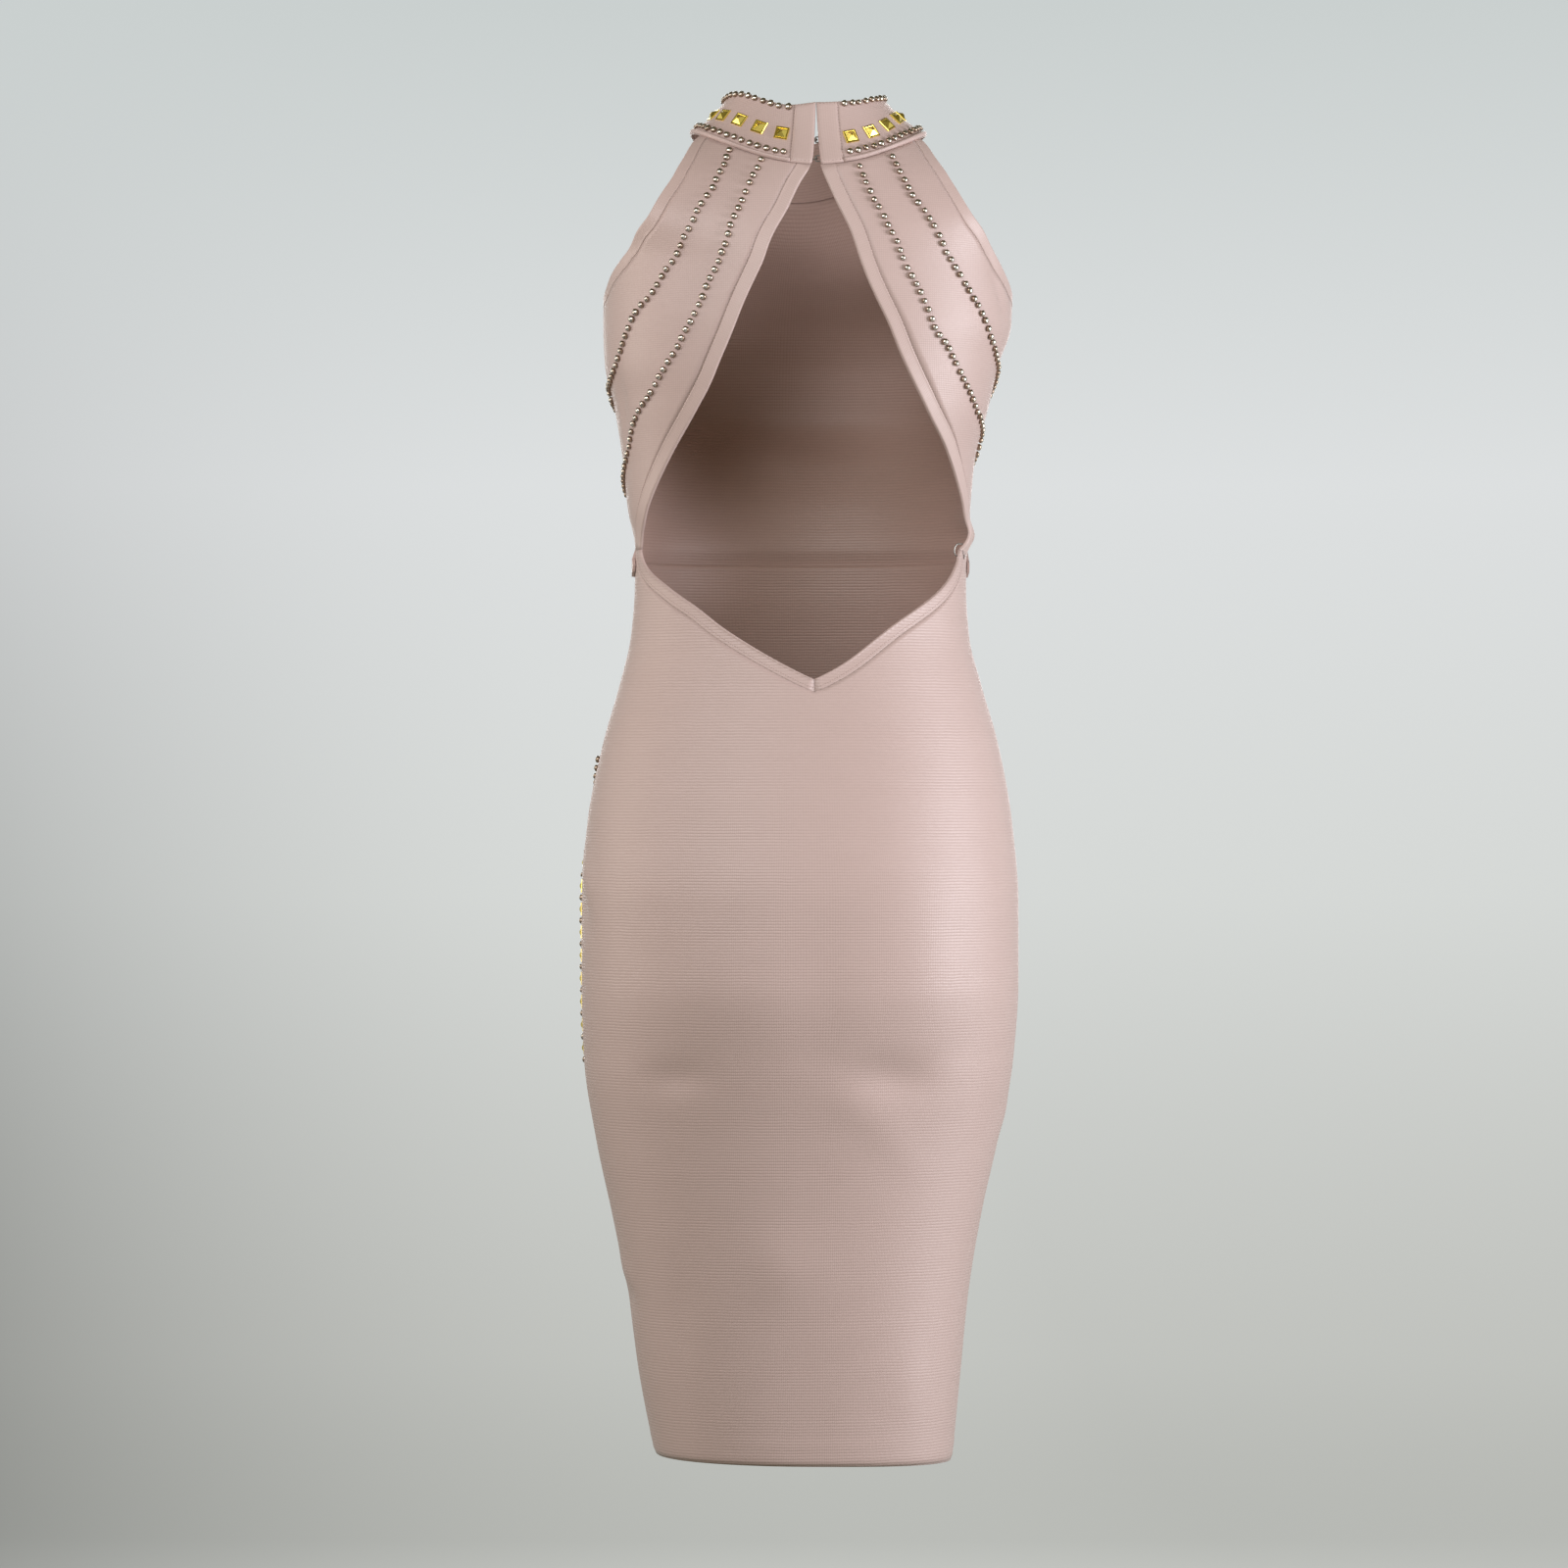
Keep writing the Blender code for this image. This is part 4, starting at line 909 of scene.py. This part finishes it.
def collar_ends(share):
    """The turns where the collar starts beside the left tab and ends beside the right one."""
    first = collar_turn(tab_line("left", "outer", share) + STRIP_SEAM, share)
    last = collar_turn(tab_line("right", "outer", share) - STRIP_SEAM, share) - 360
    return first, last


COLLAR_COLUMNS = 190
collar_shares = np.unique([s for s, _ in COLLAR_PROFILE] + np.linspace(0.12, 0.90, 14).tolist())
around = np.linspace(0, 1, COLLAR_COLUMNS)
spots = np.array([[(first + (last - first) * a, share) for a in around]
                  for share, (first, last) in zip(collar_shares, map(collar_ends, collar_shares))])
heights = np.repeat(np.interp(collar_shares, *zip(*COLLAR_PROFILE))[:, None], COLLAR_COLUMNS, 1)
collar_sheet("collar_cloth", spots, heights, STRAP_KNIT)

# %% Closure tabs
tab_shares = np.concatenate([[0.0, 0.015, 0.04], np.linspace(0.08, 0.92, 16), [0.96, 0.985, 1.0]])
TAB_PROFILE = [(0.0, 0.735), (0.04, 0.76), (0.08, 0.93), (0.14, 1.0), (0.35, 1.0), (0.5, 1.0), (0.65, 1.0),
               (0.80, 1.0), (0.90, 1.0), (0.96, 0.85), (1.0, 0.5)]  # share across, and share of its thickness


def tab_spot(side, across, share):
    """A spot of the collar, so far across a tab and so far up it."""
    outer, inner = tab_line(side, "outer", share), tab_line(side, "inner", share)
    return collar_turn(outer * (1 - across) + inner * across, share), share


for side in HAND:
    spots = np.array([[tab_spot(side, across, share) for across, _ in TAB_PROFILE] for share in tab_shares])
    across_rise = np.array([rise for _, rise in TAB_PROFILE])
    up_rise = np.interp(np.minimum(tab_shares, 1 - tab_shares), [0, 0.015, 0.04], [0.45, 0.8, 1.0])
    heights = TAB_CLOTH * np.minimum(across_rise[None, :], up_rise[:, None])
    collar_sheet(f"collar_tab_cloth_{side}", spots, heights, STRIP_KNIT, ())

# %% [markdown]
# ## Metal
# Round beads of dark silver are sewn in rows, and square pyramid studs of yellow metal are set into
# the collar and the hips. They shine far more than the cloth, so nearly all of their look is what
# they reflect. Small flaws in colour and gloss keep them from looking like plastic.

# %% Metal materials
def metal(name, colour, dark, roughness, scale, dents=0.25):
    """A plated metal with a little tarnish and unevenness."""
    r = Recipe(name)
    cloud = r.noise(scale, 3.0, 0.6)
    fine = r.noise(scale * 6, 2.0)
    base = r.blend(((cloud - 0.42) * 2.2).clamped(), colour, dark)
    height = cloud + fine * 0.4
    bump = r.node("ShaderNodeBump", {}, {"Strength": dents, "Distance": 0.00008, "Height": height})
    return r.finish(Base_Color=base, Metallic=1.0, Roughness=roughness + (fine - 0.5) * 0.12, Normal=bump)


bead_metal = metal("pewter_bead_metal", (0.62, 0.555, 0.48), (0.34, 0.265, 0.20), 0.16, 300.0)
# Painted shade: the setting's dark colour stands for the bead's shaded sides and its contact shadow on the
# cloth.
setting_metal_painted_shade = metal("dark_setting_metal", (0.36, 0.27, 0.20), (0.20, 0.135, 0.095), 0.30, 300.0)
stud_metal = metal("yellow_stud_metal", (0.92, 0.71, 0.16), (0.70, 0.50, 0.07), 0.22, 90.0, 0.06)
wire_metal = metal("silvered_wire_metal", (0.40, 0.38, 0.35), (0.24, 0.22, 0.20), 0.50, 400.0)
for name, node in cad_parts.items():
    if name.startswith(("collar_hook", "collar_eye", "waist_loop")):
        node.data.materials.clear()
        node.data.materials.append(wire_metal)
        print("wire finish on", name)

# %% [markdown]
# ## Places seen from the camera
# Where a row of beads runs is easiest to say in pixels of the frame. A pixel alone is only a line of
# sight, so each one is carried to the form: a dense grid of places is projected, and the nearest one
# that faces the camera is taken. From then on the row lies on the cloth from every side.

# %% From pixels to places
def to_pixels(points):
    """Pixels of the 1600 pixel frame for points in space."""
    offset = points - np.array(camera_spot)
    depth = -(offset @ np.array(camera_back))
    scale = FRAME_PIXELS * camera.data.lens / SENSOR
    return np.stack([FRAME_PIXELS / 2 + offset @ np.array(camera_right) / depth * scale,
                     FRAME_PIXELS / 2 - offset[..., 2] / depth * scale], -1)


BACK_TURNS = np.arange(-12.0, 193.0, 0.5)  # a little past both sides
grid = np.stack(np.meshgrid(BACK_TURNS, np.arange(HEM, FORM[0].back_height, 0.001)), -1)
grid_out = outward_at(grid)
grid_points = on_form(grid) + grid_out * CLOTH
facing = ((np.array(camera_spot) - grid_points) * grid_out).sum(-1) > 0
seen_places, seen_pixels = grid[facing], to_pixels(grid_points[facing])


def places_at(pixels):
    """The places of the form that show at these pixels."""
    nearest = [np.argmin(((seen_pixels - pixel) ** 2).sum(-1)) for pixel in np.array(pixels, float)]
    return seen_places[nearest]


print("places that face the camera:", len(seen_places))

# %% [markdown]
# ## Beads
# Each bead is a slightly flattened ball of 4.5 mm in a setting with four blunt prongs. The setting
# covers all but the top of the ball and is coloured dark as painted shade, for the bead's shaded sides and
# its contact shadow. Hundreds of single objects would be slow to handle, so one ball is made as arrays,
# copied to every place with its own small tilt and size, and the copies are joined in one mesh.

# %% A ball, and the same ball in a setting
BEAD = 0.0045
BEAD_PITCH = 0.0066
BEAD_SINK = 0.26  # height of a bead's middle over the cloth, as a share of its size
BALL_AROUND = 16
PRONGS = 4
SETTING_START = 3  # the rings of the ball from here down belong to the setting
RIM_MIDDLE = 0.22  # of the setting, over the ball's middle, for a ball of size one
RIM_WIDTH = 0.14


def turned(radii, heights, angles):
    """A grid of points: a profile of radii and heights turned round the z axis."""
    return np.stack([np.outer(radii, np.cos(angles)), np.outer(radii, np.sin(angles)),
                     np.outer(heights, np.ones(len(angles)))], -1)


def ball(around=BALL_AROUND, rings=11):
    """Points and faces of a ball of size one, its axis along z."""
    polar = np.pi * np.arange(1, rings) / rings
    angles = 2 * np.pi * np.arange(around) / around
    body = turned(np.sin(polar), np.cos(polar), angles).reshape(-1, 3)
    points = np.concatenate([[[0, 0, 1]], body, [[0, 0, -1]]]) * 0.5
    number = 1 + np.arange((rings - 1) * around).reshape(rings - 1, around)
    number = np.concatenate([number, number[:, :1]], 1)
    faces = [[0, a, b] for a, b in zip(number[0], number[0, 1:])]
    faces += [[a, b, c, d] for a, b, c, d in grid_faces(number)]
    return points, faces + [[a, len(points) - 1, b] for a, b in zip(number[-1], number[-1, 1:])]


def set_bead():
    """A ball in a setting, whose rim swells into prongs. The setting takes a dark metal that is painted
    shade.
    """
    points, faces = ball()
    angle = np.arctan2(points[:, 1], points[:, 0])
    in_rim = np.exp(-(((points[:, 2] - RIM_MIDDLE) / RIM_WIDTH) ** 2))
    grown = 1 + in_rim * (0.05 + 0.10 * np.maximum(np.cos(PRONGS * angle), 0) ** 2)
    return points * np.stack([grown, grown, np.ones(len(points))], -1), faces


SETTING_FACES = (np.arange(len(ball()[1])) >= BALL_AROUND * SETTING_START).astype(np.int32)
print("faces of a bead:", len(SETTING_FACES), "of them in the setting:", SETTING_FACES.sum())


# %% Small things on the cloth
class Scatter:
    """Where a small thing is set again and again: its spots, the ways out and the ways along."""

    def __init__(self):
        self.rows = []

    def add(self, spots, out, along):
        """Keep one row."""
        self.rows.append((spots, unit(out), unit(along)))

    def joined(self):
        """All rows as three arrays."""
        return [np.concatenate(column) for column in zip(*self.rows)]


def frames_at(outward, along):
    """A right-handed set of axes at each spot: along the row, across it, and straight out."""
    across = unit(np.cross(outward, along))
    return np.stack([unit(np.cross(across, outward)), across, outward], -1)


def copies(name, template, spots, axes, scales, materials):
    """The template set at every spot with its axes and scale, joined in one mesh."""
    points, faces = template
    placed = np.einsum("nij,nkj->nki", axes, points[None] * scales[:, None, :]) + spots[:, None, :]
    all_faces = [[corner + n * len(points) for corner in face] for n in range(len(spots)) for face in faces]
    return add_mesh(name, placed.reshape(-1, 3), all_faces, materials)


def spaced(points, pitch):
    """Broken indices of a line at equal steps of about the pitch, the first half a step from its end."""
    along = lengths_along(points)
    count = max(1, round(along[-1] / pitch))
    at = (np.arange(count) + 0.5) * along[-1] / count
    return np.interp(at, along, np.arange(len(points)))


def sampled(values, index):
    """Rows of an array at broken indices."""
    low = np.clip(index.astype(int), 0, len(values) - 2)
    return values[low] + (values[low + 1] - values[low]) * (index - low)[:, None]


# %% [markdown]
# The rows start under the collar, follow the straps, and go round the sides to the front. What
# happens on the front is a plain continuation: the rows cross the bust and meet at the centre.

# %% Rows of beads
ROW_PIXELS = {
    "left_outer": [(747, 150), (735.8, 175), (722.5, 200), (707.7, 223.5), (695.7, 248), (680.7, 274),
                   (665.4, 299), (649, 321), (638.8, 342), (633, 361), (624, 389), (622.4, 397)],
    "left_inner": [(779.4, 160), (766.9, 184), (754.9, 209.5), (744.5, 234), (735.8, 259), (725.8, 282),
                   (715.7, 304), (702, 335), (687.9, 360), (674.5, 383), (663, 403), (652.4, 419),
                   (646, 437), (642.5, 456), (640, 468)],
    "right_inner": [(875, 166.5), (888, 197), (903.5, 225), (917.9, 255), (932, 286), (948, 317.5),
                    (954, 334), (966, 352), (977, 374), (987, 396), (996, 419), (1001, 438),
                    (1002, 447)],
    "right_outer": [(908, 157.5), (919, 178.5), (933, 203), (948, 224), (962, 249), (978.5, 280),
                    (993, 304), (1004, 325), (1011, 345), (1016, 365), (1017, 383)],
}
FRONT_ENDS = {  # places that carry each row on over the front
    "left_outer": [(-8.0, -0.1795), (-24.0, -0.190), (-44.0, -0.198), (-66.0, -0.204), (-89.0, -0.212)],
    "left_inner": [(1.0, -0.234), (-9.0, -0.244), (-21.0, -0.2515), (-44.0, -0.252), (-66.0, -0.250),
                   (-89.0, -0.254)],
    "right_inner": [(179.0, -0.218), (187.0, -0.2285), (197.0, -0.240), (209.0, -0.248), (226.0, -0.251),
                    (246.0, -0.250), (269.0, -0.254)],
    "right_outer": [(187.0, -0.180), (204.0, -0.194), (224.0, -0.200), (246.0, -0.204), (269.0, -0.212)],
}
HIP_ROW = np.array([(-7.5, -0.4350), (-9.0, -0.4440), (-13.0, -0.4530), (-24.0, -0.4640), (-42.0, -0.4740),
                    (-64.0, -0.4810), (-89.0, -0.4840)])  # its end shows at the wearer's left hip
COLLAR_BEAD_LINES = (0.135, 0.945)  # shares of the collar's height
COLLAR_BEAD_START = 1.2  # degrees from a tab to these rows
BEAD_WANDER = 0.05  # how unevenly the beads are sewn, as a share of their pitch
rng = np.random.default_rng(7)
beads = Scatter()


def add_beads(points, outward):
    """Keep the beads of one row, each a little off its even place."""
    index = spaced(points, BEAD_PITCH)
    step = (len(points) - 1) / len(index)
    index = np.clip(index + rng.normal(0, BEAD_WANDER, len(index)) * step, 0, len(points) - 1)
    out = unit(sampled(outward, index))
    ahead = sampled(points, np.minimum(index + 0.5, len(points) - 1))
    behind = sampled(points, np.maximum(index - 0.5, 0))
    along = unit(ahead - behind)
    aside = np.cross(out, along) * rng.normal(0, BEAD_WANDER * BEAD_PITCH * 0.6, (len(index), 1))
    beads.add(sampled(points, index) + aside, out, along)


bead_rows = [np.concatenate([places_at(pixels), FRONT_ENDS[name]]) for name, pixels in ROW_PIXELS.items()]
for row in bead_rows + [HIP_ROW, HIP_ROW * (-1.0, 1.0) + (180.0, 0.0)]:
    add_beads(*on_cloth(curve_through(row, 160), CLOTH))
for share in COLLAR_BEAD_LINES:
    first, last = collar_ends(share)
    turns = np.linspace(first - COLLAR_BEAD_START, last + COLLAR_BEAD_START, 200)
    add_beads(*on_collar(turn_level(turns, share), COLLAR_CLOTH))
print("beads in rows:", [len(spots) for spots, _, _ in beads.rows])

# %% [markdown]
# ## Studs
# A stud is a pressed square pyramid of 9.6 mm with a flat rim. The collar carries one every 17 mm.
# More of them sit on the hips, each between two beads, where they only just show from behind.

# %% Studs and hip beads
STUD = 0.0096
STUD_HEIGHT = 0.0030
STUD_PITCH = 0.0168
STUD_FIRST = 0.0076  # from a tab to the middle of its nearest stud
STUD_LINE = 0.475  # height of the row of studs, as a share of the collar's height
STUD_DIP = 0.088  # how much lower the row runs beside the right tab
STUD_DIP_FLAT = 0.06  # how far round from that tab it stays so low, as a share of the whole way
STUD_DIP_RISE = 0.12  # and over how long a share it rises again
HIP_PITCH = 0.0165
HIP_LEVELS = np.arange(-0.462, -0.655, -HIP_PITCH)
HIP_TURNS = [(-0.70, 12.0), (-0.52, 11.5), (-0.45, 22.0)]  # level, and degrees to the front of the side seam


def pyramid():
    """A square pyramid stud of width one and height one, with a flat rim."""
    square = np.array([(-1, -1), (1, -1), (1, 1), (-1, 1)]) * 0.5
    rings = [(1.0, -0.10), (1.0, 0.22), (0.95, 0.34), (0.80, 0.34), (0.74, 0.26), (0.14, 0.97)]
    points = np.concatenate([np.column_stack([square * size, np.full(4, high)]) for size, high in rings])
    faces = [[4 * k + a, 4 * k + (a + 1) % 4, 4 * k + 4 + (a + 1) % 4, 4 * k + 4 + a]
             for k in range(len(rings) - 1) for a in range(4)]
    top = 4 * len(rings)
    faces += [[top - 4 + a, top - 4 + (a + 1) % 4, top] for a in range(4)] + [[3, 2, 1, 0]]
    return np.concatenate([points, [[0, 0, 1.0]]]), faces


studs = Scatter()
way = np.linspace(0, 1, 400)
rise = np.clip((1 - way - STUD_DIP_FLAT) / STUD_DIP_RISE, 0, 1)
stud_shares = STUD_LINE - STUD_DIP * (1 - rise * rise * (3 - 2 * rise))
first, last = collar_ends(STUD_LINE)[0], collar_ends(STUD_LINE - STUD_DIP)[1]
line = turn_level(first + (last - first) * way, stud_shares)
points = collar_point(line)
along = lengths_along(points)
count = round((along[-1] - 2 * STUD_FIRST) / STUD_PITCH) + 1
index = np.interp(np.linspace(STUD_FIRST, along[-1] - STUD_FIRST, count), along, np.arange(len(points)))
out = unit(sampled(collar_outward(line), index))
studs.add(sampled(points, index) + out * COLLAR_CLOTH, out, sampled(np.gradient(points, axis=0), index))
for side, hand in HAND.items():
    for shift, things in ((0.0, studs), (-HIP_PITCH / 2, beads)):
        levels = HIP_LEVELS + shift
        places = turn_level(SIDE_SEAM[side] - hand * np.interp(levels, *zip(*HIP_TURNS)), levels)
        things.add(*on_cloth(places, CLOTH), slopes_at(places)[1])

spots, out, along = studs.joined()
stud_object = copies("collar_and_hip_studs", pyramid(), spots, frames_at(out, along),
                     np.tile([STUD, STUD, STUD_HEIGHT], (len(spots), 1)), [stud_metal])
stud_object.data.shade_flat()
print("studs:", len(spots))

# %% The beads as one mesh
spots, out, along = beads.joined()
sizes = BEAD * rng.normal(1.0, 0.05, (len(spots), 1)) * np.array([1.0, 1.0, 0.86])
tilt = unit(out + rng.normal(0, 0.14, out.shape))
spin = rng.uniform(0, 2 * np.pi, len(spots))[:, None]
along = along * np.cos(spin) + np.cross(tilt, along) * np.sin(spin)
bead_object = copies("sewn_beads", set_bead(), spots + out * BEAD * BEAD_SINK, frames_at(tilt, along),
                     sizes, [bead_metal, setting_metal_painted_shade])
bead_object.data.polygons.foreach_set("material_index", np.tile(SETTING_FACES, len(spots)))
print("beads:", len(spots))

# %% [markdown]
# ## Topstitching
# Stitches are short and round, and each one dips into the knit at its ends, so from a distance a seam
# is a line of small dark dots. Each stitch is a stretched ball laid along the seam. The thread is
# coloured darker than the knit, partly as painted shade for the needle holes, and hundreds of them are
# joined in one mesh.

# %% Thread material
# Painted shade: the thread's colour is darker than the knit partly to stand for the shade in the needle
# holes.
r = Recipe("brown_rose_thread")
twist = abs((r.part(r.node("ShaderNodeTexCoord", output="Object"), "Z") * 5200.0).sine())
thread_and_hole_shade = r.finish(
    Base_Color=r.blend(twist, (0.50, 0.365, 0.325), (0.35, 0.245, 0.21)), Roughness=0.55 + twist * 0.15,
    Normal=r.node("ShaderNodeBump", {}, {"Strength": 0.5, "Distance": 0.0001, "Height": twist}),
    Sheen_Weight=0.2)
print("thread material:", thread_and_hole_shade.name)

# %% Seams with stitches
STITCH = (0.0010, 0.0005, 0.0004)  # length, width and height
DIP_SEAM = (0.74, 0.0018, 0.0019)  # share across the strip, height over the inside, and pitch
OPENING_SEAM = (0.985, 0.0019, 0.0021)
UNDER_COLLAR = 6  # steps of the open back's edge that get no stitches, beside the collar
TAB_SEAM_PITCH = 0.0024
TAB_END_PITCH = 0.0026
TAB_END_SEAMS = (0.035, 0.965)  # shares of the tab's height
stitches = Scatter()


def stitch_seam(pitch, points, outward):
    """Keep the stitches of one seam."""
    index = spaced(points, pitch)
    ahead = np.gradient(points, axis=0)
    stitches.add(sampled(points, index), sampled(outward, index), sampled(ahead, index))


for side in HAND:
    share, height, pitch = DIP_SEAM
    line = dip_edge(side, WAIST_STRIP * share, 90.0 - HAND[side] * MITRE_GAP, 90)
    stitch_seam(pitch, *on_cloth(line, height))
    share, height, pitch = OPENING_SEAM
    line = opening_edge(side, OPENING_STRIP * share, 160)
    stitch_seam(pitch, *(grid[UNDER_COLLAR:] for grid in on_cloth(line, height)))
    spots = np.array([tab_spot(side, 0.0, share) for share in np.linspace(0.03, 0.97, 60)])
    stitch_seam(TAB_SEAM_PITCH, *on_collar(spots, COLLAR_CLOTH + 0.0001))
    for share in TAB_END_SEAMS:
        ends = [tab_spot(side, across, share)[0] for across in (0.0, 1.0)]
        spots = turn_level(np.linspace(*ends, 30)[2:-2], share)
        stitch_seam(TAB_END_PITCH, *on_collar(spots, TAB_CLOTH * 0.97))
spots, out, along = stitches.joined()
stitch_object = copies("topstitching", ball(8, 6), spots, frames_at(out, along),
                       np.tile(STITCH, (len(spots), 1)), [thread_and_hole_shade])
print("stitches:", len(spots))

# %% [markdown]
# ## What stands for what
# Each sheet of cloth takes the place of the plain wall of the model, and all of them ride on its one
# body. The size each sheet was cut to is worked out and printed. Worn, the knit is stretched by
# about 4 percent each way, so the flat sizes are that much smaller than what is measured here. A strip
# or tab is cut a quarter wider than it lies, for its rolled edge. Its length is what its worn area needs
# at that width and a fifth more, for its ends.

# %% Ride, replace and size the cuts
STRETCH = 1.04
ROLLED = 1.25
SPARE = 1.2
TAB_WIDTH = 0.0150
Cut = namedtuple("Cut", "held rests_on width length")  # worn width and length; strips have their width only
cuts = {
    "skirt_back_cloth": Cut("stretched", ["waist_strip_cloth_left", "waist_strip_cloth_right"], 0.46, 0.60),
    "skirt_front_cloth": Cut("stretched", ["bodice_front_cloth"], 0.44, 0.66),
    "bodice_front_cloth": Cut("stretched", ["collar_cloth"], 0.42, 0.34),
    "collar_cloth": Cut("folded", ["collar_tab_cloth_left", "collar_tab_cloth_right"], 0.40, 0.050),
}
for side in HAND:
    strap = "back_strap_cloth_" + side
    cuts[strap] = Cut("stretched", ["collar_cloth"], 0.095, 0.32)
    for name, rests_on, width in [
        ("armhole_strip_cloth_", [strap, "bodice_front_cloth"], ARMHOLE_STRIP),
        ("back_opening_strip_cloth_", [strap], OPENING_STRIP),
        ("waist_strip_cloth_", ["skirt_back_cloth"], WAIST_STRIP),
        ("collar_tab_cloth_", ["collar_cloth"], TAB_WIDTH),
    ]:
        cuts[name + side] = Cut("folded", rests_on, width * ROLLED, None)
for name in cuts:
    piece = bpy.data.objects[name]
    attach(piece, "root")
    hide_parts(name.replace("_cloth", ""))
    "blush_strip" if "strip" in name or "tab" in name else "blush_knit"
for piece in (bead_object, stud_object, stitch_object):
    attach(piece, "root")
for name, cut in cuts.items():
    piece = bpy.data.objects[name]
    worn_area = sum(face.area for face in piece.data.polygons) / 2
    length = cut.length or worn_area / cut.width * SPARE
    flat = (cut.width / STRETCH, length / STRETCH)
    area = min(worn_area / STRETCH**2, flat[0] * flat[1])
    print(name, "flat", [round(v, 3) for v in flat], "area", round(area, 4))

# %% [markdown]
# ## The studio
# The dress stands in a round white bowl: a flat floor that curves up into a wall on all sides, so it
# has a soft backdrop from every angle. The bowl is no lamp, yet it glows by its own emission, and its
# light is painted in: darkest at the floor, brightest part way up the wall, and darker towards +X low
# down. The main soft light stands far round to the camera's right, which brings out the form. Weaker
# ones fill in from below it, from the left, from above and from the dress's front. The open top lets in
# a little warm light.

# %% Floor and backdrop
FLOOR = -1.42
BOWL = [(0.0, FLOOR), (2.6, FLOOR), (3.6, -1.40), (4.6, -1.26), (5.4, -0.98), (5.9, -0.50), (6.1, 0.20),
        (6.2, 1.40), (6.2, 3.40)]  # distance from the middle, and height
BOWL_ROWS, BOWL_COLUMNS = 60, 97
GLOW_HEIGHT = 2.3  # from the floor to where the bowl's painted shading ends
GLOW_WIDTH = 0.85  # from the middle to where its painted shading across ends
at = np.linspace(0, len(BOWL) - 1, BOWL_ROWS)
bowl_r, bowl_z = (smooth_values(np.arange(len(BOWL)), column, at) for column in zip(*BOWL))
angles = np.linspace(0, 2 * np.pi, BOWL_COLUMNS)
points = turned(bowl_r, bowl_z, angles)
# Painted light: the bowl glows by emission, darkest at the floor, brightest part way up the wall and a little
# darker at the top, and low down it darkens towards +X.
r = Recipe("studio_paper")
spot = r.node("ShaderNodeTexCoord", output="Object")
rise = ((r.part(spot, "Z") - FLOOR) / GLOW_HEIGHT).clamped()
glow = r.node("ShaderNodeValToRGB", {"stops": [
    (0.0, (0.40, 0.41, 0.39)), (0.06, (0.47, 0.48, 0.46)), (0.34, (0.62, 0.64, 0.63)),
    (0.64, (0.68, 0.70, 0.71)), (1.0, (0.56, 0.60, 0.60))]}, {0: rise})
across = (r.part(spot, "X") / GLOW_WIDTH).clamped(-1.0, 1.0)
tilt = 1 - (across * 0.285 + across * across * 0.245) * (1 - rise)
painted_falloff_grey = r.node("ShaderNodeCombineXYZ", {}, {0: tilt, 1: tilt, 2: tilt})
glowing_backdrop = r.finish(Base_Color=(0.12, 0.12, 0.12), Roughness=0.9, Emission_Strength=1.0,
                 Emission_Color=r.blend(1.0, glow, painted_falloff_grey, "MULTIPLY"))
glowing_backdrop.cycles.emission_sampling = "NONE"
number = np.arange(BOWL_ROWS * BOWL_COLUMNS).reshape(BOWL_ROWS, BOWL_COLUMNS)
bowl = add_mesh("studio_bowl", points.reshape(-1, 3), grid_faces(number), [glowing_backdrop])
bowl.visible_diffuse = False  # the metal mirrors the glowing bowl, while the ceiling alone sets the soft light
bowl.visible_shadow = False

# %% Lights
LIGHT_TARGET = Vector((0, 0, -0.35))
Lamp = namedtuple("Lamp", "azimuth height distance size watts colour")  # azimuth: towards the camera's right
LAMPS = {
    "key": Lamp(70, -0.25, 1.9, 0.9, 29.0, (1.0, 1.0, 1.08)),
    "low_right": Lamp(84, -0.95, 1.9, 0.9, 5.4, (0.96, 1.0, 1.0)),
    "high_middle": Lamp(-15, 0.42, 1.9, 0.9, 15.5, (1.0, 0.99, 0.99)),
    "high_left": Lamp(-50, 0.42, 1.9, 0.9, 9.5, (1.0, 0.97, 1.04)),
    "left": Lamp(-88, -0.20, 1.9, 0.9, 7.8, (1.0, 0.96, 0.86)),
    "front": Lamp(180, 0.30, 3.0, 2.0, 48.0, (1.0, 1.0, 1.0)),
}
for name, lamp in LAMPS.items():
    around = math.radians(lamp.azimuth)
    spot = (camera_back * math.cos(around) + camera_right * math.sin(around)) * lamp.distance
    spot.z = lamp.height
    light = bpy.data.lights.new(name, "AREA")
    light.size, light.energy, light.color = lamp.size, lamp.watts, lamp.colour
    obj = bpy.data.objects.new(name, light)
    facing = (spot - LIGHT_TARGET).to_track_quat("Z", "Y").to_matrix().to_4x4()
    obj.matrix_world = Matrix.Translation(spot) @ facing
    bpy.context.scene.collection.objects.link(obj)
world = bpy.data.worlds.new("studio_ceiling")
world.use_nodes = True
for socket, value in {"Color": (1.0, 0.96, 0.64, 1.0), "Strength": 0.14}.items():
    world.node_tree.nodes["Background"].inputs[socket].default_value = value
bpy.context.scene.world = world
bpy.context.scene.view_settings.view_transform = "Standard"
print("lights:", len(LAMPS))
